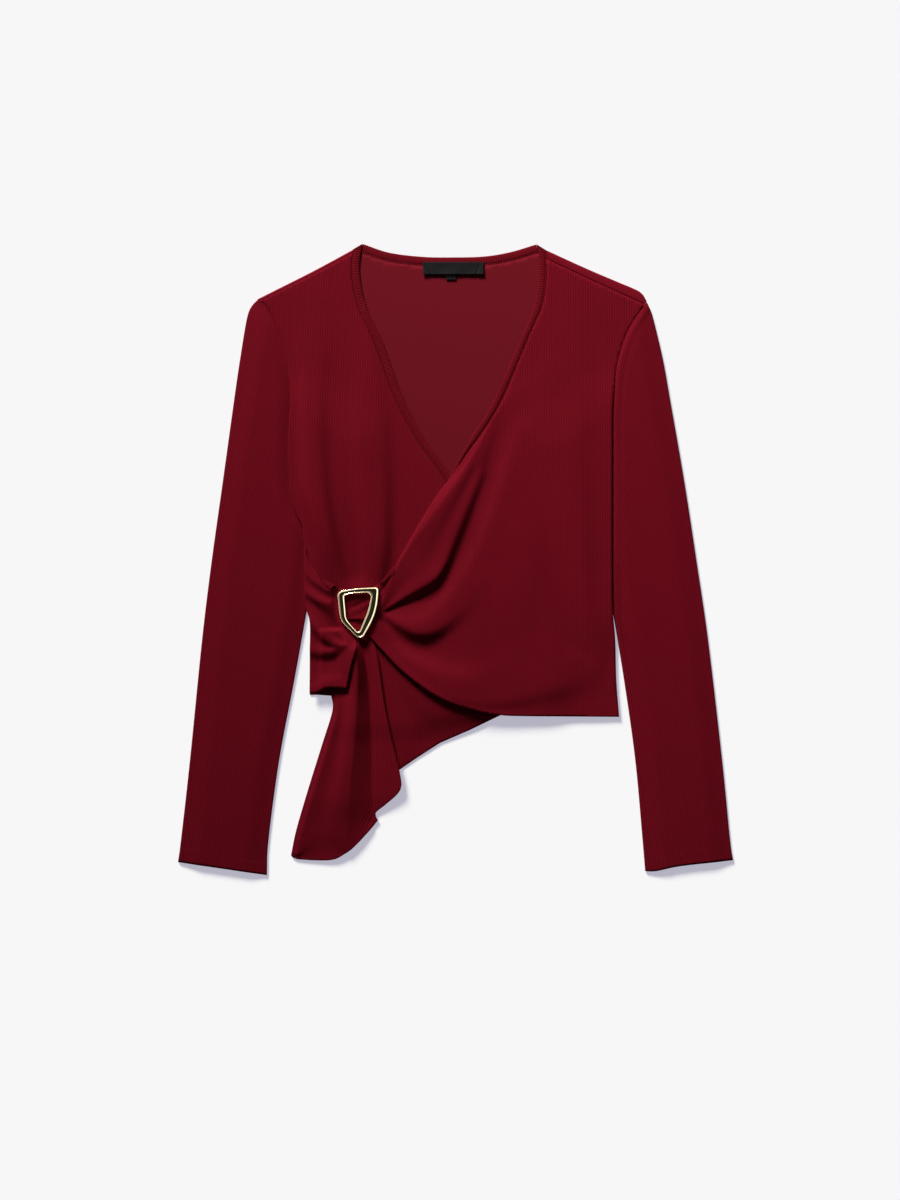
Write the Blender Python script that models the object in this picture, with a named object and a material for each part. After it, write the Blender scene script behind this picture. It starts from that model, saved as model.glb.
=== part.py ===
"""Long-sleeved wrap top in ribbed jersey, laid flat, with a shield-shaped ring at the waist.

Millimetres in the tables, metres in the meshes. +Y runs from hem to neck, +Z is up from the surface
that the top lies on. All body cloth shares one net of points: each layer is the layer below it,
moved up by the cloth and a gap, plus its own folds, and is then cut to its outline.
"""

import bisect
import math

import bmesh
import bpy
import numpy as np

MM = 0.001

# ---- driving sizes, mm -------------------------------------------------------------------------
CLOTH = 1.2  # thickness of one layer of jersey
GAP = 0.3  # air between layers and at seams
BAND_EXTRA = 0.5  # the neck band is folded rib, thicker than the panels
BAND_WIDTH = 8.5
BACK_BAND_WIDTH = 9.5
LAYER = CLOTH + GAP
SLEEVE_HEIGHT = 2 * CLOTH + GAP  # a sleeve pressed flat
SLEEVE_CROWN = 2.6  # how far the air in a sleeve lifts its upper layer
SHOULDER_STRIP_LEFT = 2.6  # back cloth that comes over the shoulder to the front
RING_SEAT = 9.6  # height of the ring's flat underside
RING_THICKNESS = 4.2
LABEL_THICKNESS = 0.5
TAB_THICKNESS = 0.4
FOLD_INSET = 0.2  # the shoulder's fold stays this far inside the layers it joins
CUT_REACH = 60.0  # half height of a cutter
SLEEVE_ACROSS = 8  # points across one layer of a sleeve
SLEEVE_STATIONS = 16  # sections along a sleeve
POINT_SPACING = 9.5  # along the curved edges
SHARP_EDGE = 40.0  # degrees

# Net of points shared by the body's layers: from, to, spacing
X_ZONES = ((-212, -172, 13), (-172, -52, 9.3), (-52, 40, 13), (40, 200, 22))
Y_ZONES = ((-312, -160, 17), (-160, -20, 9.3), (-20, 140, 16), (140, 330, 19))

# ---- edges of the pieces: x, y -----------------------------------------------------------------
UNDER_BAND_TOP = (-106.5, 318.6)
BACK_HEM_RIGHT = (160, -159.5)
BACK_HEM_LEFT = (-148, -138.5)
LABEL = ((-33.7, 306.6), (29.1, 306.2), (29.1, 293.9), (-33.7, 294.3))
SIZE_TAB = ((-9.6, 301), (0.6, 301), (0.6, 288.3), (-9.6, 288.3))
BACK_NECK_EDGE = (
    (-95.5, 325.5), (-68, 316.5), (-34, 312.3), (-3, 311.7), (29, 312.6), (56, 317), (83, 325),
)
LEFT_SHOULDER = ((-106.5, 319), (-134, 304), (-156, 292.5), (-185, 278), (-203, 269))
RIGHT_SHOULDER = ((94, 318.6), (135, 300), (167, 286.3), (190, 276), (197, 266))
RIGHT_SHOULDER_SEAM = ((95.3, 309), (143.7, 286.3), (193.3, 263.8))
LEFT_ARMHOLE = (
    (-203, 268), (-196, 261.5), (-187, 245), (-178.7, 221.5), (-172.5, 195.7), (-170, 173), (-170.5, 152),
)
RIGHT_ARMHOLE = ((196.6, 264.5), (184, 247), (173.6, 226.6), (166.3, 201), (163, 175), (161.2, 150))
LEFT_SIDE = (
    (-170.5, 152), (-172, 118), (-170.5, 71), (-165, 50), (-158, 35), (-156, 20),
    (-155.5, 0), (-155, -38), (-153, -52), (-149.5, -64), (-149.8, -98), (-150, -139),
)
RIGHT_SIDE = (
    (161.2, 150), (160.7, 41), (161.2, -41), (164.3, -82), (165.5, -124), (168.4, -161.5),
)

# Band of the over-front: free edge, then seam, from the shoulder through the ring to the far side.
# Between HIDDEN_FROM and HIDDEN_TO it is turned under the front's rolled edge.
OVER_NECK = (
    (84.5, 324), (86, 310), (85, 285), (80.4, 260), (69.5, 233), (37.6, 161), (18.6, 130.2), (5.4, 106.7),
    (-5.2, 87.6), (-9.8, 76.2), (-19, 58.7), (-31.4, 39.1), (-41.7, 20.6), (-51, 6.2), (-58.2, -3.6),
    (-64.5, -8), (-71.1, -16.5), (-76.5, -22), (-86, -28.5), (-101.5, -29.9), (-115.9, -29.5),
    (-128.2, -23.7), (-136, -20.1),
)
OVER_SEAM = (
    (93.4, 318.6), (93.2, 310), (92.9, 284.8), (88.6, 259.6), (77.4, 234.8), (47.9, 164.8), (30.4, 135.3),
    (15.7, 114.7), (6.7, 101.5), (1, 88), (-4.5, 74), (-13.5, 56), (-24.5, 35), (-35.5, 15.5), (-44.8, 2.1),
    (-53, -7.2), (-61.3, -14.4), (-68.5, -21.6), (-76.7, -33), (-86, -38.2), (-100.4, -38.6),
    (-113.8, -38.1), (-121, -35), (-133.4, -28.3), (-137.5, -22.7),
)
HIDDEN_FROM = 8  # rows of OVER_SEAM
HIDDEN_TO = 17
OVER_ROLL = (
    (-0.5, 92.2), (-6.2, 84.5), (-21.1, 63.9), (-33.5, 44.3), (-43.8, 26.8), (-52, 12.4), (-59.2, 0),
    (-63.3, -8.8), (-66, -15.5),
)
OVER_SIDE_EDGE = ((-142.7, -12.4), (-148.8, -4.1), (-153.5, 7.2), (-154.6, 15.5))
OVER_HEM = (
    (168.4, -161.5), (108, -161), (66, -160.5), (48, -159.7), (29, -156.6), (8.5, -151),
    (-7.5, -145.5), (-23, -137.5), (-39, -126.5), (-59, -110), (-77, -91), (-89.3, -77.8),
)
OVER_RING_END = ((-89.3, -77.8), (-91, -61.5), (-111, -61.5), (-112.5, -68), (-101.5, -80))
FLAP_EDGE = ((-101.5, -80), (-101.5, -90), (-106.5, -107), (-112, -132))
FLAP_HEM = ((-112, -132), (-126, -130.5), (-135, -132), (-142, -135.5), (-150, -137.5))

# Free edge of the under-front, from the shoulder down and on below the over-front
UNDER_NECK = (
    (-97, 324), (-98.8, 298), (-92, 262), (-75.7, 226.6), (-57, 175),
    (-44.8, 149), (-30.4, 123.6), (-11, 97), (10, 62), (36, 14), (58, -52), (64, -110), (58, -149),
)
UNDER_HEM = ((51, -157.5), (35.5, -165), (15, -175), (-16, -188.5), (-38.6, -203), (-58, -216.3))
UNDER_HIDDEN_HEM = ((-58, -216.3), (-80, -221), (-106, -211), (-114, -165), (-124, -131), (-149.8, -131))

TAIL_TOP = ((-91.5, -62), (-110, -62), (-107.3, -72.5), (-100.8, -80.5))
TAIL_TUCK = ((-100.8, -80.5), (-105, -90), (-114, -106), (-124, -124), (-128, -139))
TAIL_LEFT = (
    (-128, -139), (-126.5, -154.5), (-137.5, -190.5), (-152, -237), (-164, -278), (-169.4, -304),
)
TAIL_HEM = (
    (-169.4, -304), (-163, -308), (-129, -309), (-114, -302.5), (-103.5, -294.5), (-88, -278),
    (-79.8, -268),
)
TAIL_NOTCH = (
    (-79.8, -268), (-82.3, -260.6), (-72.6, -252.3), (-59.5, -240.5), (-55.5, -231.5), (-57.5, -216.5),
)
TAIL_RIGHT = (
    (-57.5, -216.5), (-65.5, -185), (-73.5, -145), (-80.5, -97), (-85.5, -84), (-89.5, -78.5),
)

# Sleeves: folded outer edge, folded inner edge, end of the hidden part of the armhole, cuff
LEFT_OUTER = (
    (-203.5, 268), (-209.5, 262), (-214.8, 249), (-222, 206), (-228, 165), (-239.5, 82),
    (-251, 0), (-261, -82), (-273.5, -206), (-282.7, -288), (-285.8, -311),
)
LEFT_INNER = (
    (-121, 118), (-133, 51), (-145.5, -10), (-153, -52),
    (-166, -124), (-181.5, -206), (-192.5, -288), (-194.2, -324.4),
)
LEFT_TUCK = ((-150, 138), (-121, 118))
LEFT_CUFF = ((-285.8, -311), (-240, -317.5), (-194.2, -324.4))
RIGHT_OUTER = (
    (197.2, 265), (201.4, 256), (205, 243), (213.7, 206), (221, 165), (235.4, 82),
    (248, 0), (260, -82), (274.5, -206), (282.7, -288), (285.8, -309),
)
RIGHT_INNER = (
    (125, 118), (140.5, 51), (153, -10), (161, -49),
    (173.5, -124), (185, -206), (192.5, -288), (195.2, -320.3),
)
RIGHT_TUCK = ((145, 137), (125, 118))
RIGHT_CUFF = ((285.8, -309), (231, -315), (206, -320.3), (195.2, -320.3))

# Ring outlines: corner x, y, corner radius
RING_OUTER = (
    (-121.6, -32.4, 5.2), (-100.1, -28.8, 110), (-78.6, -27.9, 2.2), (-79.7, -54.2, 75),
    (-97.1, -83.2, 5.4), (-118.3, -62, 18),
)
RING_INNER = (
    (-113.9, -36.9, 2), (-108.2, -34.5, 15), (-85.9, -33.4, 4.6), (-89.8, -51.9, 60),
    (-99.4, -75.5, 2.5), (-111.8, -61, 12),
)
# Section of the ring: share of the way from the outer to the inner edge, share of the rims' height
RING_PROFILE = (
    (0, 0), (0, 0.35), (0.05, 0.8), (0.16, 1), (0.32, 0.83),
    (0.7, 0.83), (0.84, 1), (0.95, 0.8), (1, 0.35), (1, 0),
)

# ---- folds: x, y, height, reach to the left and to the right of the line ---------------------------
UNDER_FOLDS = (
    ((-117, -50, 0.0, 14, 7), (-125, -24, 2.4, 16, 8), (-136.5, 15, 3.4, 18, 8), (-144, 62, 3.4, 20, 9),
     (-147, 113, 2.2, 20, 12), (-148, 150, 1.0, 20, 16), (-147, 190, 0.0, 20, 20)),
    ((-82, -50, 0.0, 20, 8), (-80, -28, 2.4, 24, 8), (-80, 20, 3.4, 28, 8), (-81, 82, 2.8, 28, 9),
     (-83, 144, 1.8, 26, 14), (-86, 206, 0.8, 24, 18), (-92, 257, 0.0, 22, 20)),
)
OVER_FOLDS = (
    ((-75, -41, 2.0, 6, 7), (-66, -26, 4.0, 5, 10), (-58, -10, 5.4, 5, 16), (-48, 5, 6.2, 5, 20),
     (-38, 23, 6.2, 5, 22), (-25, 43, 5.6, 5, 22), (-13, 64, 4.6, 5, 20), (1, 84.5, 3.4, 5, 18),
     (14, 103, 2.2, 6, 16), (30, 126, 1.2, 8, 16), (52, 160, 0.0, 8, 14)),
    ((-73, -50, 2.0, 6, 5), (-59, -40, 3.6, 10, 5), (-45, -32, 5.0, 16, 5), (-32, -24, 5.6, 18, 6),
     (-23, -11, 5.6, 18, 6), (-16, 4, 5.0, 18, 7), (-8, 23, 4.0, 16, 8), (0, 43, 3.0, 16, 9),
     (8, 64, 2.0, 14, 10), (19, 88, 1.0, 12, 12), (34, 113, 0.0, 12, 12)),
    ((-72, -55, 2.2, 5, 6), (-57, -47.5, 4.4, 7, 10), (-39, -45.5, 5.4, 10, 18), (-20, -43, 5.0, 12, 24),
     (-3, -33, 4.2, 14, 28), (11, -12, 3.4, 16, 30), (22, 15, 2.6, 18, 30), (33, 49, 1.8, 18, 30),
     (46, 88, 0.8, 18, 28), (61, 124, 0.0, 18, 28)),
    ((-83, -68, 2.0, 5, 6), (-65, -87, 5.0, 12, 9), (-42, -109, 5.6, 24, 15), (-11, -126, 4.6, 30, 18),
     (25, -134, 3.0, 32, 20), (61, -127, 1.5, 32, 22), (92, -105, 0.0, 32, 22)),
)
SIDE_FOLDS = (
    ((-154, -12, 0.8, 8, 8), (-141, -33, 2.6, 8, 8), (-127, -43, 3.2, 8, 8), (-112, -47, 2.4, 8, 8),
     (-92, -46, 1.6, 8, 8)),
    ((-153, -37, 0.8, 8, 8), (-141, -55, 2.4, 8, 8), (-127, -62, 2.8, 8, 8), (-112, -58, 1.8, 8, 8),
     (-92, -56, 1.4, 8, 8)),
    ((-150, -56, 1.5, 9, 12), (-141, -76, 4.0, 10, 14), (-127, -91, 4.6, 10, 16), (-114, -96, 4.0, 10, 16),
     (-102, -92, 1.5, 9, 14)),
    ((-134, -137, 3.4, 15, 12), (-129, -114, 2.6, 14, 12), (-125, -98, 0.0, 12, 12)),
)
TAIL_FOLDS = (
    ((-113, -302, 3.4, 40, 9), (-108.5, -247, 5.0, 34, 9), (-104.5, -196, 6.4, 28, 9),
     (-101.5, -144, 7.2, 22, 8), (-99.5, -104, 5.4, 17, 8), (-99, -84, 2.2, 12, 8), (-99, -66, 0.6, 10, 8)),
    ((-66, -246, 3.6, 20, 10), (-60, -218, 5.0, 24, 10), (-67, -187, 5.6, 22, 10),
     (-75, -146, 6.0, 18, 10), (-81.5, -104, 5.0, 13, 9), (-87, -84, 2.2, 9, 8), (-92, -66, 0.6, 9, 8)),
)

# Where a layer comes down because the one below it has ended: start, end
BACK_HEM_RAMP = (-165, -190)  # y
UNDER_HEM_RAMP = (-240, -275)  # y
UNDER_EDGE_RAMP = (30, 70)  # distance beyond the under-front's free edge
SLEEVE_RAMP = (28, 46)  # distance from a sleeve's tucked part
SLEEVE_TUCK_TOP = (200, 174)  # y at which the body starts, and has finished, rising onto a sleeve
TAIL_RAMP = (-148, -136)  # x at which the side drape starts, and has finished, rising onto the tail
TAIL_TOP_RAMP = (-66, -73.5)  # y at which it does
TAIL_END_RAMP = (-92, -85)  # x beyond which it lies lower again
CROWN_FROM_EDGE = (0, 24)  # a sleeve's upper layer rises within this distance of its edges
CROWN_FROM_BODY = (3, 30)  # and of the body that lies on it
BEYOND_SIDE = 30.0  # the stretch that lifts the body is taken this far beyond its side
HIDDEN_BAND_RAMP = (15, 30)  # distance within which the front rises onto its hidden band
RING_CLEAR = 7.0  # cloth stays below the ring's seat within this distance
RING_SLOPE = 0.9  # and rises at most this steeply beyond it

COLOURS = {  # sRGB
    "jersey": "#640C19",
    "jersey_back": "#60111A",
    "rib": "#5E0B17",
    "ring": "#ECDAB1",
    "label": "#1B1A1B",
}


# ---- lines ---------------------------------------------------------------------------------------
def smooth_line(points):
    """Catmull-Rom line through the points."""
    points = [np.array(p, float) for p in points]
    padded = [2 * points[0] - points[1], *points, 2 * points[-1] - points[-2]]
    line = []
    for a, b, c, d in zip(padded, padded[1:], padded[2:], padded[3:]):
        steps = max(1, round(float(np.hypot(*(c - b))) / POINT_SPACING))
        for k in range(steps):
            t = k / steps
            bend = (2 * a - 5 * b + 4 * c - d) * t**2 + (3 * b - a - 3 * c + d) * t**3
            line.append(0.5 * (2 * b + (c - a) * t + bend))
    line.append(points[-1])
    return np.array(line)


def beside(line, width):
    """The line moved to the right of its direction by width, which may differ from point to point."""
    along = np.gradient(line, axis=0)
    along /= np.hypot(along[:, 0], along[:, 1])[:, None]
    right = np.stack([along[:, 1], -along[:, 0]], axis=1)
    return line + right * np.broadcast_to(width, len(line))[:, None]


def lengths(line):
    """Share of the line's length at each of its points."""
    run = np.concatenate([[0], np.cumsum(np.hypot(*np.diff(line, axis=0).T))])
    return run / run[-1]


def at_share(line, share):
    run = lengths(line)
    return np.stack([np.interp(share, run, line[:, 0]), np.interp(share, run, line[:, 1])], axis=-1)


def chain(*lines):
    """Lines joined end to end into one outline, without the points they share."""
    outline = []
    for line in lines:
        for point in np.asarray(line, float):
            if not outline or np.hypot(*(point - outline[-1])) > 0.05:
                outline.append(point)
    if np.hypot(*(outline[0] - outline[-1])) < 0.05:
        outline.pop()
    return np.array(outline)


def rounded(corners, arc_steps=5):
    """Closed outline with an arc of the given radius at each corner."""
    outline = []
    for k, (x, y, radius) in enumerate(corners):
        corner = np.array([x, y])
        before = np.array(corners[k - 1][:2]) - corner
        after = np.array(corners[(k + 1) % len(corners)][:2]) - corner
        before /= np.hypot(*before)
        after /= np.hypot(*after)
        half = math.acos(float(np.clip(before @ after, -1, 1))) / 2
        middle = (before + after) / np.hypot(*(before + after))
        centre = corner + middle * radius / math.sin(half)
        start = corner + before * radius / math.tan(half) - centre
        turn = math.pi - 2 * half
        side = math.copysign(1, before[0] * after[1] - before[1] * after[0])
        for step in range(arc_steps + 1):
            angle = -side * turn * step / arc_steps
            cosine, sine = math.cos(angle), math.sin(angle)
            turned = (start[0] * cosine - start[1] * sine, start[0] * sine + start[1] * cosine)
            outline.append(centre + turned)
    return np.array(outline)


# ---- heights -------------------------------------------------------------------------------------
def ramp(start, end, value):
    """0 before start, 1 after end, smooth between."""
    t = np.clip((value - start) / (end - start), 0, 1)
    return t * t * (3 - 2 * t)


def nearest(line, x, y):
    """Distance to the line, side (positive on its left) and the segment share of the nearest point."""
    best = np.full(x.shape, np.inf)
    side = np.zeros(x.shape)
    place = np.zeros(x.shape)
    for k, (a, b) in enumerate(zip(line, line[1:])):
        run = b[:2] - a[:2]
        t = np.clip(((x - a[0]) * run[0] + (y - a[1]) * run[1]) / (run @ run), 0, 1)
        dx, dy = x - a[0] - t * run[0], y - a[1] - t * run[1]
        distance = np.hypot(dx, dy)
        closer = distance < best
        best = np.where(closer, distance, best)
        side = np.where(closer, run[0] * dy - run[1] * dx, side)
        place = np.where(closer, k + t, place)
    return best, side, place


def folds(table, x, y):
    """Sum of soft ridges along the table's lines."""
    total = np.zeros(x.shape)
    for rows in table:
        rows = np.array(rows, float)
        distance, side, place = nearest(rows, x, y)
        row = np.arange(len(rows))
        height = np.interp(place, row, rows[:, 2])
        left, right = np.interp(place, row, rows[:, 3]), np.interp(place, row, rows[:, 4])
        reach = np.where(side > 0, left, right)
        total += height * (0.5 + 0.5 * np.cos(np.pi * np.clip(distance / reach, 0, 1)))
    return total


def inside(outline, x, y):
    """True where a point lies within the closed outline."""
    result = np.zeros(x.shape, bool)
    for (ax, ay), (bx, by) in zip(outline, np.roll(outline, -1, axis=0)):
        crosses = (ay > y) != (by > y)
        with np.errstate(divide="ignore", invalid="ignore"):
            result ^= crosses & (x < (bx - ax) * (y - ay) / (by - ay) + ax)
    return result


def away(outline, x, y):
    """Distance outside a closed outline, 0 within it."""
    distance = nearest(np.concatenate([outline, outline[:1]]), x, y)[0]
    return np.where(inside(outline, x, y), 0, distance)


def back_bottom(x, y):
    """On the surface, but rising onto the stretch of each sleeve that is tucked under the body."""
    lift = np.zeros(x.shape)
    sides = ((LEFT_ARMHOLE[-1], LEFT_TUCK, LEFT_INNER), (RIGHT_ARMHOLE[-1], RIGHT_TUCK, RIGHT_INNER))
    for armhole_end, tuck, inner in sides:
        beyond = armhole_end[0] + math.copysign(BEYOND_SIDE, armhole_end[0])
        across = [(beyond, inner[3][1]), (beyond, armhole_end[1])]
        tucked = np.array([armhole_end, *tuck, *inner[1:4], *across], float)
        lift = np.maximum(lift, 1 - ramp(*SLEEVE_RAMP, away(tucked, x, y)))
    return (SLEEVE_HEIGHT + GAP) * lift * ramp(*SLEEVE_TUCK_TOP, y)


def tab_bottom(x, y):
    return back_bottom(x, y) + CLOTH + GAP


def label_bottom(x, y):
    return tab_bottom(x, y) + TAB_THICKNESS + GAP


def fold_bottom(x, y):
    return back_bottom(x, y) + FOLD_INSET


def strip_bottom(x, y):
    return back_bottom(x, y) + LAYER


def under_bottom(x, y):
    step = LAYER * (1 - ramp(*BACK_HEM_RAMP, y))
    return back_bottom(x, y) + step + folds(UNDER_FOLDS, x, y)


def below_ring(x, y, height, thickness):
    """A layer kept below the ring where the ring lies on it."""
    seat = RING_SEAT - GAP - thickness
    return np.minimum(height, seat + RING_SLOPE * np.maximum(away(ring_edges()[0], x, y) - RING_CLEAR, 0))


def tail_bottom(x, y):
    step = LAYER * (1 - ramp(*UNDER_HEM_RAMP, y))
    height = under_bottom(x, y) + step + folds(TAIL_FOLDS, x, y)
    return below_ring(x, y, height, CLOTH + LAYER)


def over_band_bottom(x, y):
    """Above the under-front, down on the back beyond it, and above the tail beside the ring."""
    edge_distance, edge_side, _ = nearest(smooth_line(UNDER_NECK), x, y)
    beyond = np.where(edge_side > 0, edge_distance, 0)
    over_under = 1 - ramp(*UNDER_EDGE_RAMP, beyond)
    flat = strip_bottom(x, y)
    lower = under_bottom(x, y) + LAYER + BAND_EXTRA
    height = flat + (lower - flat) * over_under + folds(OVER_FOLDS, x, y)
    side = height + folds(SIDE_FOLDS, x, y)
    on_tail = ramp(*TAIL_RAMP, x) * ramp(*TAIL_TOP_RAMP, y) * (1 - ramp(*TAIL_END_RAMP, x))
    side = np.maximum(side, (tail_bottom(x, y) + LAYER) * on_tail)
    return below_ring(x, y, side, CLOTH)


def over_bottom(x, y):
    """As the band, but above it where the front's edge is rolled over it."""
    neck, seam, _ = over_lines()
    within = (hidden_rows(neck), hidden_rows(seam)[::-1])
    onto_band = 1 - ramp(*HIDDEN_BAND_RAMP, away(chain(*within), x, y))
    return over_band_bottom(x, y) + (CLOTH + BAND_EXTRA + GAP) * onto_band


def ring_edges():
    """Outer and inner outline of the ring."""
    return rounded(RING_OUTER), rounded(RING_INNER)


# ---- modelling ------------------------------------------------------------------------------------
def linear(hex_colour):
    values = [int(hex_colour[k : k + 2], 16) / 255 for k in (1, 3, 5)]
    return [v / 12.92 if v <= 0.04045 else ((v + 0.055) / 1.055) ** 2.4 for v in values] + [1.0]


def material(name, colour, roughness, metallic=0.0):
    made = bpy.data.materials.new(name)
    made.use_nodes = True
    shader = made.node_tree.nodes["Principled BSDF"]
    shader.inputs["Base Color"].default_value = linear(COLOURS[colour])
    shader.inputs["Roughness"].default_value = roughness
    shader.inputs["Metallic"].default_value = metallic
    made.diffuse_color = linear(COLOURS[colour])
    return made


def new_object(name, bm, collection, finish=None):
    mesh = bpy.data.meshes.new(name)
    bm.normal_update()
    bm.to_mesh(mesh)
    bm.free()
    made = bpy.data.objects.new(name, mesh)
    collection.objects.link(made)
    if finish:
        made.data.materials.append(material(name, *finish))
    return made


def net_lines(zones, low, high):
    """The shared net's lines from the last one before low to the first one after high."""
    lines = [zones[0][0]]
    for start, end, spacing in zones:
        count = round((end - start) / spacing)
        lines += [start + (end - start) * (k + 1) / count for k in range(count)]
    first = max(bisect.bisect_right(lines, low) - 1, 0)
    last = min(bisect.bisect_left(lines, high), len(lines) - 1)
    return lines[first : last + 1]


def layer(name, outline, bottom, thickness, parts, cutters, finish=None):
    """A stretch of the net at a layer's height, thickened upwards and cut to an outline."""
    low, high = outline.min(axis=0), outline.max(axis=0)
    columns = net_lines(X_ZONES, low[0] - 1, high[0] + 1)
    rows = net_lines(Y_ZONES, low[1] - 1, high[1] + 1)
    bm = bmesh.new()
    bmesh.ops.create_grid(bm, x_segments=len(columns) - 1, y_segments=len(rows) - 1, size=0.5)
    bm.verts.ensure_lookup_table()
    place = np.array([v.co[:2] for v in bm.verts]) + 0.5
    x = np.interp(place[:, 0] * (len(columns) - 1), range(len(columns)), columns)
    y = np.interp(place[:, 1] * (len(rows) - 1), range(len(rows)), rows)
    for vert, *place in zip(bm.verts, x, y, bottom(x, y)):
        vert.co = [value * MM for value in place]
    bmesh.ops.triangulate(bm, faces=bm.faces[:], quad_method="FIXED")  # every layer splits its net alike
    grown = bmesh.ops.extrude_face_region(bm, geom=bm.faces[:])
    above = [item for item in grown["geom"] if isinstance(item, bmesh.types.BMVert)]
    bmesh.ops.translate(bm, verts=above, vec=(0, 0, thickness * MM))
    bmesh.ops.recalc_face_normals(bm, faces=bm.faces[:])
    made = new_object(name, bm, parts if finish else cutters, finish)
    cutter = outline_cutter(name + "_outline", outline, cutters)
    cut = made.modifiers.new("outline", "BOOLEAN")
    cut.operation = "INTERSECT"
    cut.solver = "EXACT"
    cut.object = cutter
    return made


def outline_cutter(name, outline, cutters):
    bm = bmesh.new()
    corners = [bm.verts.new((x * MM, y * MM, -CUT_REACH * MM)) for x, y in outline]
    bm.faces.new(corners)
    grown = bmesh.ops.extrude_face_region(bm, geom=bm.faces[:])
    above = [item for item in grown["geom"] if isinstance(item, bmesh.types.BMVert)]
    bmesh.ops.translate(bm, verts=above, vec=(0, 0, 2 * CUT_REACH * MM))
    bmesh.ops.recalc_face_normals(bm, faces=bm.faces[:])
    cutter = new_object(name, bm, cutters)
    cutter.hide_render = True
    cutter.display_type = "WIRE"
    return cutter


def join_to(base, other):
    other.hide_render = True
    other.display_type = "WIRE"
    union = base.modifiers.new("join", "BOOLEAN")
    union.operation = "UNION"
    union.solver = "EXACT"
    union.object = other


def closed_sweep(name, sections, parts, finish):
    """Closed loops of points skinned one to the next, and the last to the first, into one body."""
    bm = bmesh.new()
    loops = [[bm.verts.new([value * MM for value in point]) for point in section] for section in sections]
    for near, far in zip(loops, loops[1:] + loops[:1]):
        for k, (a, b) in enumerate(zip(near, far)):
            bm.faces.new((a, near[k - 1], far[k - 1], b))
    bmesh.ops.recalc_face_normals(bm, faces=bm.faces[:])
    made = new_object(name, bm, parts, finish)
    made.data.shade_smooth()
    made.data.set_sharp_from_angle(angle=math.radians(SHARP_EDGE))
    return made


# ---- pieces ---------------------------------------------------------------------------------------
def under_neck_lines():
    edge = smooth_line(UNDER_NECK)
    seam = beside(edge, BAND_WIDTH)
    seam[0] = UNDER_BAND_TOP
    return edge, seam


def over_lines():
    """Free edge and seam of the over-front's band, and the front's own edge beside or above it."""
    seam = np.array(OVER_SEAM)
    upper = smooth_line(seam[: HIDDEN_FROM + 1])
    lower = smooth_line(seam[HIDDEN_TO:])
    edge = chain(beside(upper, -GAP), smooth_line(OVER_ROLL), beside(lower, -GAP), smooth_line(OVER_SIDE_EDGE))
    return smooth_line(OVER_NECK), smooth_line(OVER_SEAM), edge


def hidden_rows(line):
    """The stretch of a line that is level with the hidden part of the over-front's band."""
    top, (reach, foot) = OVER_SEAM[HIDDEN_FROM][1], OVER_SEAM[HIDDEN_TO]
    return line[(line[:, 1] < top) & (line[:, 1] > foot) & (line[:, 0] > reach - BAND_WIDTH)]


def make_back(parts, cutters):
    """The back, with the cloth that comes over each shoulder to the front."""
    left, right = smooth_line(LEFT_SHOULDER), smooth_line(RIGHT_SHOULDER)
    right_seam = beside(smooth_line(RIGHT_SHOULDER_SEAM), -GAP)
    neck = beside(smooth_line(BACK_NECK_EDGE), BACK_BAND_WIDTH + GAP)
    outline = chain(
        neck, right, smooth_line(RIGHT_ARMHOLE), smooth_line(RIGHT_SIDE), [BACK_HEM_RIGHT, BACK_HEM_LEFT],
        smooth_line(LEFT_SIDE)[::-1], smooth_line(LEFT_ARMHOLE)[::-1], left[::-1],
    )
    fold_height = LAYER + CLOTH - 2 * FOLD_INSET
    back = layer("back", outline, back_bottom, CLOTH, parts, cutters, ("jersey_back", 0.85))
    strip_left = chain(left[1:-1], beside(left, -SHOULDER_STRIP_LEFT)[1:-1][::-1])
    strip_right = chain(right[:-1], right_seam[::-1])
    fold_left = chain(beside(left, -FOLD_INSET)[1:-1], beside(left, -CLOTH)[1:-1][::-1])
    fold_right = chain(beside(right, FOLD_INSET)[1:-1], beside(right, CLOTH)[1:-1][::-1])
    for side, fold, strip in (("left", fold_left, strip_left), ("right", fold_right, strip_right)):
        join_to(back, layer("fold_" + side, fold, fold_bottom, fold_height, parts, cutters))
        join_to(back, layer("strip_" + side, strip, strip_bottom, CLOTH, parts, cutters))


def make_back_band(parts, cutters):
    edge = smooth_line(BACK_NECK_EDGE)
    outline = chain(edge, beside(edge, BACK_BAND_WIDTH)[1:-1][::-1])
    layer("neck_band_back", outline, back_bottom, CLOTH + BAND_EXTRA, parts, cutters, ("rib", 0.85))


def make_under_front(parts, cutters):
    """Wearer's right front, whose long point reaches below the over-front."""
    edge, seam = under_neck_lines()
    left = smooth_line(LEFT_SHOULDER)
    side = smooth_line(LEFT_SIDE)
    shoulder = beside(left, -SHOULDER_STRIP_LEFT - GAP)
    outline = chain(
        shoulder[1:-1][::-1], seam[2:], UNDER_HEM, UNDER_HIDDEN_HEM,
        side[side[:, 1] > UNDER_HIDDEN_HEM[-1][1]][::-1], smooth_line(LEFT_ARMHOLE)[1:][::-1],
    )
    layer("under_front", outline, under_bottom, CLOTH, parts, cutters, ("jersey", 0.85))
    band = chain(edge, beside(edge, BAND_WIDTH - GAP)[1:][::-1], [UNDER_BAND_TOP])
    layer("neck_band_under", band, under_bottom, CLOTH + BAND_EXTRA, parts, cutters, ("rib", 0.85))


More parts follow.
